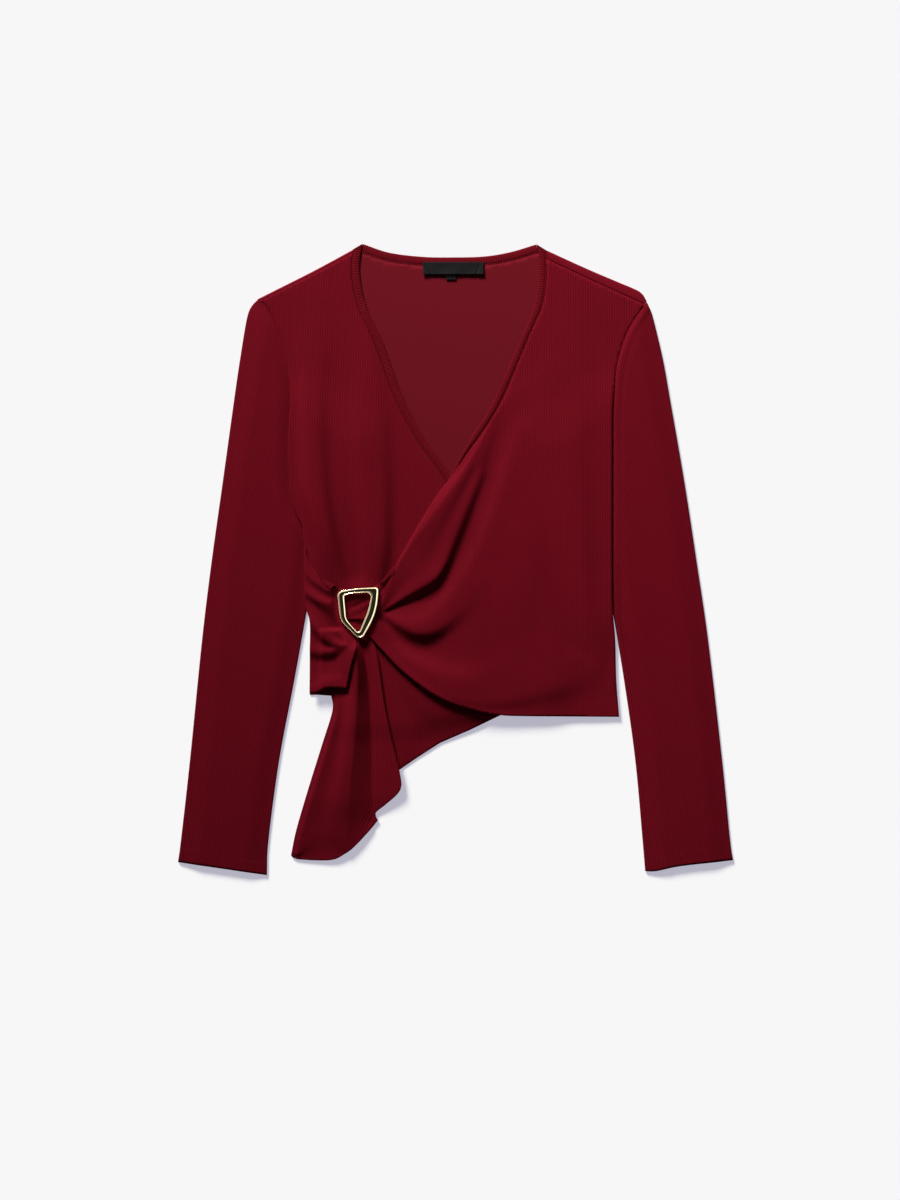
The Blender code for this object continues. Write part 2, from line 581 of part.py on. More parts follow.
def make_over_front(parts, cutters):
    """Wearer's left front, gathered under the ring and carried on to the far side seam."""
    neck, seam, edge = over_lines()
    side = smooth_line(LEFT_SIDE)
    flap_side = side[(side[:, 1] > FLAP_HEM[-1][1]) & (side[:, 1] < OVER_SIDE_EDGE[-1][1])]
    shoulder = smooth_line(RIGHT_SHOULDER_SEAM)
    outline = chain(
        shoulder, smooth_line(RIGHT_ARMHOLE)[1:], smooth_line(RIGHT_SIDE), smooth_line(OVER_HEM),
        OVER_RING_END, smooth_line(FLAP_EDGE), smooth_line(FLAP_HEM), flap_side[::-1],
        edge[edge[:, 1] < shoulder[0][1] - 1][::-1],
    )
    layer("over_front", outline, over_bottom, CLOTH, parts, cutters, ("jersey", 0.85))
    band = chain(neck, seam[::-1])
    layer("neck_band_over", band, over_band_bottom, CLOTH + BAND_EXTRA, parts, cutters, ("rib", 0.85))


def make_tail(parts, cutters):
    """The free end that falls in two flutes from the foot of the ring."""
    outline = chain(
        TAIL_TOP, smooth_line(TAIL_TUCK), smooth_line(TAIL_LEFT), smooth_line(TAIL_HEM),
        smooth_line(TAIL_NOTCH), smooth_line(TAIL_RIGHT),
    )
    layer("tail", outline, tail_bottom, CLOTH, parts, cutters, ("jersey", 0.85))


def make_sleeve(name, outer, inner, armhole, tuck, cuff, parts):
    """A tube pressed flat, with folds for its two long edges and open ends."""
    outer, inner, cuff = smooth_line(outer), smooth_line(inner), smooth_line(cuff)
    side = math.copysign(1, outer[0][0])
    head = chain(beside(smooth_line(armhole), -side * GAP), smooth_line(tuck))
    body = body_outline()

    def place(across, down):
        """Point of the sleeve's flat outline from its four edges."""
        a, b = at_share(outer, down), at_share(inner, down)
        c, d = at_share(head, across), at_share(cuff, across)
        corners = (head[0] * (1 - across) + head[-1] * across) * (1 - down)
        corners = corners + (cuff[0] * (1 - across) + cuff[-1] * across) * down
        return a * (1 - across) + b * across + c * (1 - down) + d * down - corners

    def loop(down, wall):
        width = np.hypot(*(at_share(outer, down) - at_share(inner, down)))
        edge = wall / width
        turn = (wall + SLEEVE_HEIGHT / 2) / width
        across = np.linspace(turn, 1 - turn, SLEEVE_ACROSS)
        flat = [place(share, down) for share in across]
        x, y = np.array(flat).T
        crown = SLEEVE_CROWN * ramp(*CROWN_FROM_BODY, away(body, x, y))
        crown = crown * ramp(*CROWN_FROM_EDGE, nearest(outer, x, y)[0])
        crown = crown * ramp(*CROWN_FROM_EDGE, nearest(inner, x, y)[0])
        under = [(px, py, wall) for px, py in flat]
        over = [(px, py, SLEEVE_HEIGHT - wall + lift) for (px, py), lift in zip(flat, crown)]
        far, near = place(1 - edge, down), place(edge, down)
        return [*under, (*far, SLEEVE_HEIGHT / 2), *over[::-1], (*near, SLEEVE_HEIGHT / 2)]

    stations = np.linspace(0, 1, SLEEVE_STATIONS)
    outside = [loop(share, 0) for share in stations]
    within = [loop(share, CLOTH) for share in stations]
    closed_sweep(name, outside + within[::-1], parts, ("jersey", 0.85))


def body_outline():
    return chain(
        smooth_line(RIGHT_SHOULDER), smooth_line(RIGHT_ARMHOLE), smooth_line(RIGHT_SIDE),
        smooth_line(LEFT_SIDE)[::-1], smooth_line(LEFT_ARMHOLE)[::-1], smooth_line(LEFT_SHOULDER)[::-1],
    )


def make_ring(parts):
    """Cast ring: flat underside, and a face sunk between an outer and an inner rim."""
    outer, inner = ring_edges()
    sections = [
        [(*(a + (b - a) * share), RING_SEAT + RING_THICKNESS * rise) for share, rise in RING_PROFILE]
        for a, b in zip(outer, inner)
    ]
    closed_sweep("ring", sections, parts, ("ring", 0.15, 1.0))


def make_labels(parts, cutters):
    """Neck label and the size tab below it, both plain."""
    finish = ("label", 0.6)
    layer("neck_label", np.array(LABEL), label_bottom, LABEL_THICKNESS, parts, cutters, finish)
    layer("size_tab", np.array(SIZE_TAB), tab_bottom, TAB_THICKNESS, parts, cutters, finish)


def main():
    for old in list(bpy.data.objects):
        bpy.data.objects.remove(old, do_unlink=True)
    parts = bpy.data.collections.new("wrap_top")
    cutters = bpy.data.collections.new("outlines")
    for collection in (parts, cutters):
        bpy.context.scene.collection.children.link(collection)
    make_back(parts, cutters)
    make_back_band(parts, cutters)
    make_under_front(parts, cutters)
    make_over_front(parts, cutters)
    make_tail(parts, cutters)
    make_sleeve("sleeve_left", LEFT_OUTER, LEFT_INNER, LEFT_ARMHOLE, LEFT_TUCK, LEFT_CUFF, parts)
    make_sleeve("sleeve_right", RIGHT_OUTER, RIGHT_INNER, RIGHT_ARMHOLE, RIGHT_TUCK, RIGHT_CUFF, parts)
    make_ring(parts)
    make_labels(parts, cutters)


main()
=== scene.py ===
import bisect
import math

import bmesh
import bpy
import numpy as np
from mathutils import Matrix, Vector


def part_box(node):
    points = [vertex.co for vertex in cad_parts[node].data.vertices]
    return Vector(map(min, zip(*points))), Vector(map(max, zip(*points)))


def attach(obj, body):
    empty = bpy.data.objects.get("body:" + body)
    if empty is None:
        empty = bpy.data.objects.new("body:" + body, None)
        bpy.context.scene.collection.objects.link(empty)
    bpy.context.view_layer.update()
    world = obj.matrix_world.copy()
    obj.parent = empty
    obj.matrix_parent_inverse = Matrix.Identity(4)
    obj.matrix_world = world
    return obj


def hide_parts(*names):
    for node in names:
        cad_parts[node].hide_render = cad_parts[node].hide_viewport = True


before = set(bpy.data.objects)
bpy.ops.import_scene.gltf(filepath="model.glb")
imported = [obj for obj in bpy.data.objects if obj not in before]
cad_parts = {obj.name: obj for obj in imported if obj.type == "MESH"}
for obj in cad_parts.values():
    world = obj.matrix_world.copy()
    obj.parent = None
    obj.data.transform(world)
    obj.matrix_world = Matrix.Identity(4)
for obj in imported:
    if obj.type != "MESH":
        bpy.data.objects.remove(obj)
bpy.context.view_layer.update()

# Wrap top in fine rib jersey, laid flat and gathered through a ring at the waist.
# Lengths in the tables are millimetres. +Y runs from hem to neck, +Z up from the surface.
mm = 0.001
print("frame loaded,", len(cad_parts), "nodes")


# helpers: lines in the plane, as arrays of points

def smoothLine(points, spacing=4.0):
    # Catmull-Rom line through the points, all columns alike
    points = [np.array(p, float) for p in points]
    padded = [2 * points[0] - points[1], *points, 2 * points[-1] - points[-2]]
    line = []
    for a, b, c, d in zip(padded, padded[1:], padded[2:], padded[3:]):
        steps = max(1, round(float(np.hypot(*(c - b)[:2])) / spacing))
        for k in range(steps):
            t = k / steps
            bend = (2 * a - 5 * b + 4 * c - d) * t**2 + (3 * b - a - 3 * c + d) * t**3
            line.append(0.5 * (2 * b + (c - a) * t + bend))
    line.append(points[-1])
    return np.array(line)


def normals(line):
    # unit vectors to the right of the line's direction
    along = np.gradient(line, axis=0)
    along /= np.hypot(along[:, 0], along[:, 1])[:, None]
    return np.stack([along[:, 1], -along[:, 0]], axis=1)


def beside(line, width):
    return line + normals(line) * width


def runLength(line):
    return np.concatenate([[0], np.cumsum(np.hypot(*np.diff(line[:, :2], axis=0).T))])


def atShare(line, share):
    run = runLength(line)
    share = np.asarray(share) * run[-1]
    return np.stack([np.interp(share, run, line[:, 0]), np.interp(share, run, line[:, 1])], axis=-1)


def evenly(line, spacing):
    count = max(2, round(runLength(line)[-1] / spacing) + 1)
    return atShare(line, np.linspace(0, 1, count))


def chain(*lines):
    # lines joined end to end into one outline, without the points they share
    outline = []
    for line in lines:
        for point in np.asarray(line, float):
            if not outline or np.hypot(*(point - outline[-1])) > 0.05:
                outline.append(point)
    if np.hypot(*(outline[0] - outline[-1])) < 0.05:
        outline.pop()
    return np.array(outline)


def roundedOutline(corners, arcSteps, sideSteps):
    # closed outline of corners x, y, radius, each drawn as an arc, with sideSteps points along each side
    arcs = []
    for k, (x, y, radius) in enumerate(corners):
        corner = np.array([x, y])
        before = np.array(corners[k - 1][:2]) - corner
        after = np.array(corners[(k + 1) % len(corners)][:2]) - corner
        before /= np.hypot(*before)
        after /= np.hypot(*after)
        half = math.acos(float(np.clip(before @ after, -1, 1))) / 2
        centre = corner + (before + after) / np.hypot(*(before + after)) * radius / math.sin(half)
        start = corner + before * radius / math.tan(half) - centre
        turn = math.copysign(math.pi - 2 * half, before[1] * after[0] - before[0] * after[1])
        angles = [turn * step / arcSteps for step in range(arcSteps + 1)]
        arcs.append([centre + [start[0] * math.cos(a) - start[1] * math.sin(a),
                               start[0] * math.sin(a) + start[1] * math.cos(a)] for a in angles])
    outline = []
    for arc, following in zip(arcs, arcs[1:] + arcs[:1]):
        outline += arc
        for step in range(1, sideSteps):
            outline.append(arc[-1] + (following[0] - arc[-1]) * step / sideSteps)
    return np.array(outline)


# helpers: distances and heights at many places at once

def ramp(start, end, value):
    # 0 before start, 1 after end, smooth between
    t = np.clip((value - start) / (end - start), 0, 1)
    return t * t * (3 - 2 * t)


def nearest(line, x, y):
    # distance, side (positive on the line's left) and place along it, in rows, of the nearest point
    best = np.full(x.shape, np.inf)
    side = np.zeros(x.shape)
    place = np.zeros(x.shape)
    for k, (a, b) in enumerate(zip(line, line[1:])):
        run = b[:2] - a[:2]
        t = np.clip(((x - a[0]) * run[0] + (y - a[1]) * run[1]) / (run @ run), 0, 1)
        dx, dy = x - a[0] - t * run[0], y - a[1] - t * run[1]
        distance = np.hypot(dx, dy)
        closer = distance < best
        best = np.where(closer, distance, best)
        side = np.where(closer, run[0] * dy - run[1] * dx, side)
        place = np.where(closer, k + t, place)
    return best, side, place


def nearestPoint(line, x, y):
    place = nearest(line, x, y)[2]
    rows = np.arange(len(line))
    return np.interp(place, rows, line[:, 0]), np.interp(place, rows, line[:, 1])


def inside(outline, x, y):
    result = np.zeros(x.shape, bool)
    for (ax, ay), (bx, by) in zip(outline, np.roll(outline, -1, axis=0)):
        crosses = (ay > y) != (by > y)
        with np.errstate(divide="ignore", invalid="ignore"):
            result ^= crosses & (x < (bx - ax) * (y - ay) / (by - ay) + ax)
    return result


def closedLine(outline):
    return np.concatenate([outline, outline[:1]])


def inwardAt(outline, x, y):
    # unit vectors into a closed outline from places on it
    closed = closedLine(outline)
    run = np.diff(closed, axis=0)
    turn = np.sign(np.sum(closed[:-1, 0] * run[:, 1] - closed[:-1, 1] * run[:, 0]))
    run = run[np.minimum(nearest(closed, x, y)[2].astype(int), len(run) - 1)]
    return turn * np.stack([-run[:, 1], run[:, 0]], axis=1) / np.hypot(*run.T)[:, None]


def away(outline, x, y):
    # distance outside a closed outline, 0 within it
    return np.where(inside(outline, x, y), 0, nearest(closedLine(outline), x, y)[0])


def heightAlong(rows, x, y):
    # distance, side and height of the nearest point of a line of known heights
    distance, side, place = nearest(rows, x, y)
    return distance, side, np.interp(place, np.arange(len(rows)), rows[:, 2])


creaseStep = 8.0  # spacing of the points along a crease


def drape(lines, rest, x, y, reach=70.0):
    # height of cloth drawn smoothly over lines of known height, and at rest far from them
    total = np.full(x.shape, 1e-5)
    height = total * rest
    for rows in lines.values():
        distance, _, level = heightAlong(smoothLine(rows, creaseStep), x, y)
        weight = (np.maximum(reach - distance, 0) / (reach * np.maximum(distance, 0.05)))**2
        total += weight
        height += weight * level
    return height / total


def fluted(lines, soft, x, y):
    # soft as far as the first line, then straight from each line to the next; the lines run down the cloth
    found = [heightAlong(smoothLine(rows, creaseStep), x, y) for rows in lines.values()]
    height = soft
    for (near, nearSide, nearHeight), (far, farSide, farHeight) in zip(found, found[1:]):
        straight = (nearHeight * far + farHeight * near) / np.maximum(near + far, 1e-3)
        height = np.where((nearSide > 0) & (farSide <= 0), straight, height)
    return np.where(found[-1][1] > 0, found[-1][2], height)


# sizes shared by all the pieces
topSizes = {
    "cloth": 1.2,  # one layer of jersey
    "gap": 0.3,  # air between layers
    "seamGap": 0.12,  # and between a band and the panel it is sewn to
    "bandExtra": 0.5,  # the neck band is folded rib, thicker than the panels
    "bandWidth": 8.5,
    "backBandWidth": 9.5,
    "sleeveCrown": 2.6,  # how far the air in a sleeve lifts its upper layer
    "slack": 0.22,  # height of the waves in cloth that never lies quite flat
    "underSlack": 0.6,  # share of it in the under-front
    "ringSeat": 9.6,  # height of the ring's underside
    "ribPitch": 2.5,
}
restHeight = {"over": 1.0, "under": 0.3, "tail": 0.5}  # of each layer, far from its creases
cloth, gap, seamGap = topSizes["cloth"], topSizes["gap"], topSizes["seamGap"]
layer = cloth + gap
sleeveHeight = 2 * cloth + gap

# edges of the pieces: x, y
edges = {
    "backNeck": [(-95.5, 325.5), (-68, 316.5), (-34, 312.3), (-3, 311.7), (29, 312.6), (56, 317),
        (83, 325)],
    "leftShoulder": [(-105.8, 319.4), (-134, 304), (-156, 292.5), (-185, 278), (-204, 268.4)],
    "rightShoulder": [(92.6, 319.3), (135, 300), (167, 286.3), (190, 276), (197, 266)],
    "rightShoulderSeam": [(92.9, 310.1), (143.7, 286.3), (193.3, 263.8)],
    "leftArmhole": [(-203, 268), (-196, 261.5), (-187, 245), (-178.7, 221.5), (-172.5, 195.7), (-170, 173),
        (-170.5, 152)],
    "rightArmhole": [(196.6, 264.5), (184, 247), (173.6, 226.6), (166.3, 201), (163, 175), (161.2, 150)],
    "leftSide": [(-170.5, 152), (-172, 118), (-170.5, 71), (-165, 50), (-158, 35), (-156, 20), (-155.5, 0),
        (-155, -38), (-153, -52), (-149.5, -64), (-149.8, -98), (-150, -139)],
    "rightSide": [(161.2, 150), (160.7, 41), (161.2, -41), (164.3, -82), (165.5, -124), (168.4, -161.5)],
    "backHem": [(160, -159.5), (-148, -138.5)],
    "overNeck": [(83.2, 324.8), (86, 310), (85, 285), (80.4, 260), (69.5, 233), (37.6, 161), (18.6, 130.2),
        (5.4, 106.7), (-5.2, 87.6), (-9.8, 76.2), (-19, 58.7), (-31.4, 39.1), (-41.7, 20.6), (-51, 6.2),
        (-58.2, -3.6), (-64.5, -8), (-71.1, -16.5), (-76.5, -22), (-86, -28.5), (-101.5, -29.9),
        (-115.9, -29.5), (-128.2, -23.7), (-136, -20.1)],
    "overSeam": [(93.4, 318.6), (93.2, 310), (92.9, 284.8), (88.6, 259.6), (77.4, 234.8), (47.9, 164.8),
        (30.4, 135.3), (15.7, 114.7), (6.7, 101.5), (1, 88), (-4.5, 74), (-13.5, 56), (-24.5, 35),
        (-35.5, 15.5), (-44.8, 2.1), (-53, -7.2), (-61.3, -14.4), (-68.5, -21.6), (-76.7, -33),
        (-86, -38.2), (-100.4, -38.6), (-113.8, -38.1), (-121, -35), (-133.4, -28.3), (-137.5, -22.7)],
    "overRoll": [(-0.5, 92.2), (-6.2, 84.5), (-21.1, 63.9), (-33.5, 44.3), (-43.8, 26.8), (-52, 12.4),
        (-59.2, 0), (-63.3, -8.8), (-66, -15.5)],
    "overSide": [(-142.7, -12.4), (-148.8, -4.1), (-153.5, 7.2), (-154.6, 15.5)],
    "overHem": [(168.4, -161.5), (108, -161), (66, -160.5), (48, -159.7), (29, -156.6), (8.5, -151),
        (-7.5, -145.5), (-23, -137.5), (-39, -126.5), (-59, -110), (-77, -91), (-89.3, -77.8)],
    "overRingEnd": [(-89.3, -77.8), (-91, -61.5), (-111, -61.5), (-112.5, -68), (-101.5, -80)],
    "flapEdge": [(-101.5, -80), (-101.5, -90), (-106.5, -107), (-112, -132)],
    "flapHem": [(-112, -132), (-126, -130.5), (-135, -132), (-142, -135.5), (-150, -137.5)],
    "underNeck": [(-95.8, 325.2), (-98.8, 298), (-92, 262), (-75.7, 226.6), (-57, 175), (-44.8, 149),
        (-30.4, 123.6), (-11, 97), (10, 62), (36, 14), (58, -52), (64, -110), (58, -149)],
    "underHem": [(51, -157.5), (35.5, -165), (15, -175), (-16, -188.5), (-38.6, -203), (-58, -216.3)],
    "underHiddenHem": [(-58, -216.3), (-80, -221), (-106, -211), (-114, -165), (-124, -131),
        (-149.8, -131)],
    "tailTop": [(-91.5, -62), (-110, -62), (-107.3, -72.5), (-100.8, -80.5)],
    "tailTuck": [(-100.8, -80.5), (-105, -90), (-114, -106), (-124, -124), (-128, -139)],
    "tailLeft": [(-128, -139), (-126.5, -154.5), (-137.5, -190.5), (-152, -237), (-164, -278),
        (-169.4, -304)],
    "tailHem": [(-169.4, -304), (-163, -308), (-129, -309), (-114, -302.5), (-103.5, -294.5), (-88, -278),
        (-79.8, -268)],
    "tailNotch": [(-79.8, -268), (-82.3, -260.6), (-72.6, -252.3), (-59.5, -240.5), (-55.5, -231.5),
        (-57.5, -216.5)],
    "tailRight": [(-57.5, -216.5), (-65.5, -185), (-73.5, -145), (-80.5, -97), (-85.5, -84),
        (-89.5, -78.5)],
    "leftOuter": [(-203.5, 268), (-209.5, 262), (-214.8, 249), (-222, 206), (-228, 165), (-239.5, 82),
        (-251, 0), (-261, -82), (-273.5, -206), (-282.7, -288), (-285.8, -311)],
    "leftInner": [(-121, 118), (-133, 51), (-145.5, -10), (-153, -52), (-166, -124), (-181.5, -206),
        (-192.5, -288), (-194.2, -324.4)],
    "leftTuck": [(-150, 138), (-121, 118)],
    "leftCuff": [(-285.8, -311), (-240, -317.5), (-194.2, -324.4)],
    "rightOuter": [(197.2, 265), (201.4, 256), (205, 243), (213.7, 206), (221, 165), (235.4, 82), (248, 0),
        (260, -82), (274.5, -206), (282.7, -288), (285.8, -309)],
    "rightInner": [(125, 118), (140.5, 51), (153, -10), (161, -49), (173.5, -124), (185, -206),
        (192.5, -288), (195.2, -320.3)],
    "rightTuck": [(145, 137), (125, 118)],
    "rightCuff": [(285.8, -309), (231, -315), (206, -320.3), (195.2, -320.3)],
}
line = {name: smoothLine(points) for name, points in edges.items()}
for straight in ("backHem", "overRingEnd", "underHem", "underHiddenHem", "tailTop"):
    line[straight] = np.array(edges[straight], float)
hiddenFrom, hiddenTo = 8, 17  # rows of overSeam between which the band is under the rolled edge

# lines over which each layer is drawn: x, y, height above the layer below
overDrape = {
    "neck edge": [(94.2, 314.2, 0), (92.2, 267.8, 0.1), (85, 233.8, 0.2), (66.4, 200.8, 0.4),
        (47.9, 164.8, 0.6), (30.4, 136, 1.2), (19.1, 117.4, 1.7), (7.7, 100.9, 2.4), (-5.7, 84.5, 3.6),
        (-20.1, 63.9, 5.8), (-33.5, 44.3, 7.2), (-52, 12.4, 8.4), (-62.3, -7.2, 8), (-69.5, -23.7, 6.4),
        (-75.7, -37.1, 4.6)],
    "roll crest": [(56.1, 173, 1.2), (41.7, 152.4, 1.7), (33.5, 136, 2.3), (26.3, 122.6, 3.1),
        (16, 103, 4.8), (4.6, 83.4, 6.8), (-8.8, 63.9, 8.6), (-23.2, 44.3, 9.6), (-38.6, 24.7, 9.8),
        (-51.5, 7.2, 9.2), (-61.3, -10.3, 8.4), (-68.5, -27.8, 6.8), (-74.7, -44.3, 4.6)],
    "roll fold": [(21.1, 87.5, 3.6), (10.8, 61.8, 5.6), (1.5, 39.1, 7), (-6.7, 17.5, 7.8),
        (-12.9, -2.1, 8.6), (-22.1, -17.5, 9.6), (-35.5, -25.8, 9.4), (-48.9, -35, 8), (-62.3, -44.3, 5.4),
        (-71.6, -50, 3.4)],
    "valley": [(61.3, 164.8, 1.3), (51, 139.1, 1), (44.8, 123.6, 0.8), (39.7, 103, 0.6), (33.5, 82.4, 0.6),
        (26.3, 61.8, 0.8), (19.1, 41.2, 1.2), (10.8, 19.6, 1.6), (1.5, 0, 2), (-7.7, -17.5, 2.4),
        (-16, -28.8, 2.6), (-25.2, -35.5, 2.8), (-35.5, -40.2, 2.8), (-47.9, -43.8, 2.8),
        (-60.3, -48.4, 2.2), (-70.6, -53.6, 1.4)],
    "second crest": [(-68.5, -57.7, 2.8), (-58.2, -63.9, 5.2), (-47.9, -68.5, 6.8), (-35.5, -71.6, 7.6),
        (-22.1, -67, 7.2), (-9.8, -51.5, 6), (2.6, -35, 5.2), (14.9, -17.5, 4.6), (25.2, 0, 4.2),
        (33.5, 17.5, 4), (41.7, 39.1, 3.8), (48.9, 61.8, 3.5), (58.2, 92.7, 3.2), (70.6, 128.8, 2.8)],
    "second valley": [(-77.8, -58.7, 0), (-68.5, -69.5, 0), (-60.3, -78.8, 0), (-52, -85.5, 0),
        (-42.7, -89.6, 0), (-30.4, -91.2, 0.4), (-16, -88.1, 1.6), (2.6, -78.3, 2.8), (23.2, -63.9, 3.6),
        (37.6, -41.2, 3.9), (51, -15.5, 4), (61.3, 15.5, 3.9)],
    "hem crest": [(-79.8, -63.9, 3), (-71.6, -82.4, 2.8), (-62.3, -94.8, 2.6), (-46.9, -111.2, 2.6),
        (-31.4, -123.6, 2.9), (-16, -133.9, 3.4), (-0.5, -140.1, 4), (20.1, -143.2, 4.2),
        (42.7, -141.1, 4.3), (66.4, -133.9, 4.2), (92.2, -121.5, 4), (123.1, -105.1, 3.4)],
    "hem": [(-87, -80.3, 3), (-67.5, -98.9, 3), (-52, -113.3, 3.2), (-38.6, -126.7, 3.6),
        (-23.2, -137.5, 3.8), (-7.7, -144.2, 3.8), (8.8, -151.4, 3.6), (28.3, -156.6, 3.4),
        (47.9, -159.7, 2.8), (76.7, -160.7, 2), (107.6, -160.7, 1.4), (148.8, -160.7, 1.1),
        (169.4, -161.7, 0.7)],
    "middle": [(95.3, 144.2, 2.2), (103.5, 103, 2.5), (109.7, 61.8, 2.8), (113.8, 20.6, 3),
        (115.9, -20.6, 3), (122.1, -61.8, 2.8), (138.5, -97.9, 2.2)],
    "side": [(142.7, 267.8, 0), (151.9, 236.9, 0), (159.1, 175.1, 0.2), (161.2, 113.3, 0.3),
        (161.2, -41.2, 0.4), (164.3, -103, 0.5), (168.4, -144.2, 0.6)],
    "chest": [(107.6, 293.6, 0), (115.9, 257.5, 0.2), (117.9, 216.3, 0.6), (113.8, 175.1, 1.3)],
    "turned edge": [(-156, 20.6, 1), (-151.9, 4.1, 1.8), (-145.7, -8.2, 2.4), (-136.5, -19.6, 3.2),
        (-128.2, -24.7, 3.8), (-120, -28.8, 4.4)],
    "pleat a": [(-157.1, 0, 1.5), (-150.9, -15.5, 3), (-141.6, -23.7, 3.8), (-129.3, -30.9, 4.4)],
    "below a": [(-157.1, -17.5, 0.8), (-149.9, -25.8, 1.4), (-139.6, -33, 2), (-129.3, -39.1, 2.6),
        (-121, -42.2, 3.4)],
    "pleat b": [(-158.1, -28.8, 2), (-149.9, -35, 3.4), (-139.6, -41.7, 4.8), (-130.3, -44.8, 5.2),
        (-122.1, -45.3, 5)],
    "below b": [(-157.1, -39.1, 1), (-150.9, -43.3, 0.9), (-143.7, -49.4, 0.7), (-135.4, -58.7, 0.5),
        (-128.2, -68, 0.5), (-122.1, -77.2, 0.8), (-116.9, -82.4, 1.6)],
    "pleat c": [(-154, -53.6, 2.2), (-148.8, -61.8, 3.6), (-141.6, -71.6, 4.8), (-133.4, -80.9, 5.2),
        (-126.2, -86.5, 4.8), (-116.9, -87.5, 4.4), (-108.7, -86.5, 3.8)],
    "below c": [(-154, -68, 1.6), (-147.8, -77.2, 1.4), (-141.6, -84.5, 1.8), (-133.4, -88.6, 2.6),
        (-128.2, -90.1, 3.4)],
    "pleat d": [(-154, -86.5, 1.8), (-146.8, -92.2, 3.2), (-137.5, -94.8, 4.2), (-127.2, -93.2, 4.6)],
    "below d": [(-154, -103, 0.8), (-146.8, -104.5, 0.6), (-134.4, -105.6, 0.6), (-124.1, -103, 0.7),
        (-116.9, -97.9, 1.2), (-110.7, -91.7, 2.2)],
    "flap middle": [(-148.8, -114.3, 0.7), (-138.5, -111.2, 0.7)],
    "flap edge": [(-154, -136, 2.2), (-146.8, -134.4, 2.8), (-137.5, -132.4, 3.6), (-125.1, -128.8, 4.2),
        (-113.8, -129.8, 3.8), (-108.7, -115.4, 3), (-103.5, -99.9, 2.2), (-102.5, -90.6, 2)],
    "flap side": [(-154, -111.2, 0.3), (-151.9, -123.6, 1.2)],
}
underDrape = {
    "neck edge": [(-97.3, 323.4, 0), (-98.4, 298.7, 0.1), (-92.2, 261.6, 0.2), (-75.7, 226.6, 0.3),
        (-57.2, 175.1, 0.4), (-44.8, 149.3, 0.5), (-30.4, 123.6, 0.6), (-10.8, 96.8, 0.8), (9.8, 61.8, 0.8),
        (35.5, 14.4, 0.6)],
    "side": [(-180.8, 247.2, 0.1), (-171.5, 195.7, 0.2), (-170.5, 133.9, 0.4), (-170.5, 71.1, 0.5),
        (-163.3, 41.2, 0.6), (-157.1, 10.3, 0.7), (-153, -41.2, 0.8)],
    "ridge a": [(-147.8, 288.4, 0.5), (-149.9, 236.9, 1.4), (-149.9, 195.7, 2.6), (-149.9, 164.8, 4),
        (-148.8, 133.9, 5.6), (-146.8, 103, 7), (-143.7, 72.1, 8), (-140.6, 51.5, 8.4), (-136.5, 30.9, 8.2),
        (-131.3, 10.3, 7), (-125.1, -11.3, 4.6), (-117.9, -36.1, 2.4)],
    "between": [(-116.9, 288.4, 0.4), (-115.9, 236.9, 0.6), (-117.9, 195.7, 0.8), (-121, 154.5, 1.2),
        (-122.1, 113.3, 1.6), (-120, 82.4, 1.8), (-116.9, 51.5, 1.8), (-111.8, 20.6, 1.4),
        (-104.5, -15.5, 0.3)],
    "ridge b": [(-94.2, 278.1, 0.6), (-90.1, 236.9, 1.4), (-88.1, 195.7, 2.2), (-87, 154.5, 3.2),
        (-86, 113.3, 4.4), (-84.5, 72.1, 5.6), (-82.9, 30.9, 6.4), (-82.4, 4.1, 5.6), (-86, -25.8, 2.8)],
    "beyond b": [(-71.6, 267.8, 0.3), (-61.3, 226.6, 0.4), (-56.1, 185.4, 0.6), (-54.1, 144.2, 0.7),
        (-53, 108.2, 0.6), (-53, 72.1, 0.4), (-54.1, 46.4, 0.2), (-55.1, 20.6, 0), (-59.2, -6.2, 0),
        (-66.4, -28.8, 0.1), (-75.7, -45.3, 0.3)],
    "tail bunch": [(-106.6, -92.7, 3), (-96.3, -123.6, 1.4), (-90.1, -154.5, 0.9), (-83.9, -185.4, 0.7),
        (-77.8, -216.3, 0.6)],
    "tail side": [(-75.7, -97.9, 1.6), (-71.6, -123.6, 1.2), (-66.4, -154.5, 1), (-61.3, -185.4, 0.7),
        (-56.1, -216.3, 0.4)],
    "below hem": [(-67.5, -98.9, 2.4), (-57.2, -108.2, 3.4), (-45.8, -119.5, 4.2), (-32.4, -129.8, 4.6),
        (-16, -141.1, 4.2), (2.6, -150.4, 3.4), (25.2, -156.6, 2.2), (51, -160.7, 1.2)],
    "under hem": [(-54.1, -214.2, 0), (-38.6, -203.9, 0), (-16, -190.6, 0), (12.9, -176.1, 0.2),
        (43.8, -161.7, 0.6)],
    "hidden": [(-129.3, -144.2, 1), (-139.6, -82.4, 1.2), (4.6, -82.4, 1), (14.9, -41.2, 1)],
}
# flutes of the tail, from left to right: between one line and the next the cloth runs straight
tailCreases = {
    "left flute": [(-103, -85.5, 8), (-101.2, -100.9, 10.8), (-99.9, -118.5, 11.4), (-100.4, -133.9, 10.6),
        (-101.1, -149.3, 9.8), (-103.5, -185.4, 9.8), (-107.6, -226.6, 9.4), (-110.2, -267.8, 7),
        (-111.8, -298.7, 4)],
    "valley": [(-96.8, -85.5, 0), (-93.2, -100.9, 0), (-90.6, -118.5, 0.2), (-89.1, -133.9, 0.4),
        (-88.3, -149.3, 0.6), (-86.7, -185.4, 0), (-86.2, -226.6, 0), (-85.5, -267.8, 0.6)],
    "right flute": [(-79.8, -85.5, 2), (-77.8, -100.9, 2.8), (-74.7, -123.6, 3.6), (-69.5, -154.5, 4.2),
        (-64.4, -185.4, 4.5), (-59.2, -216.3, 4.8), (-56.1, -236.9, 4.6)],
}
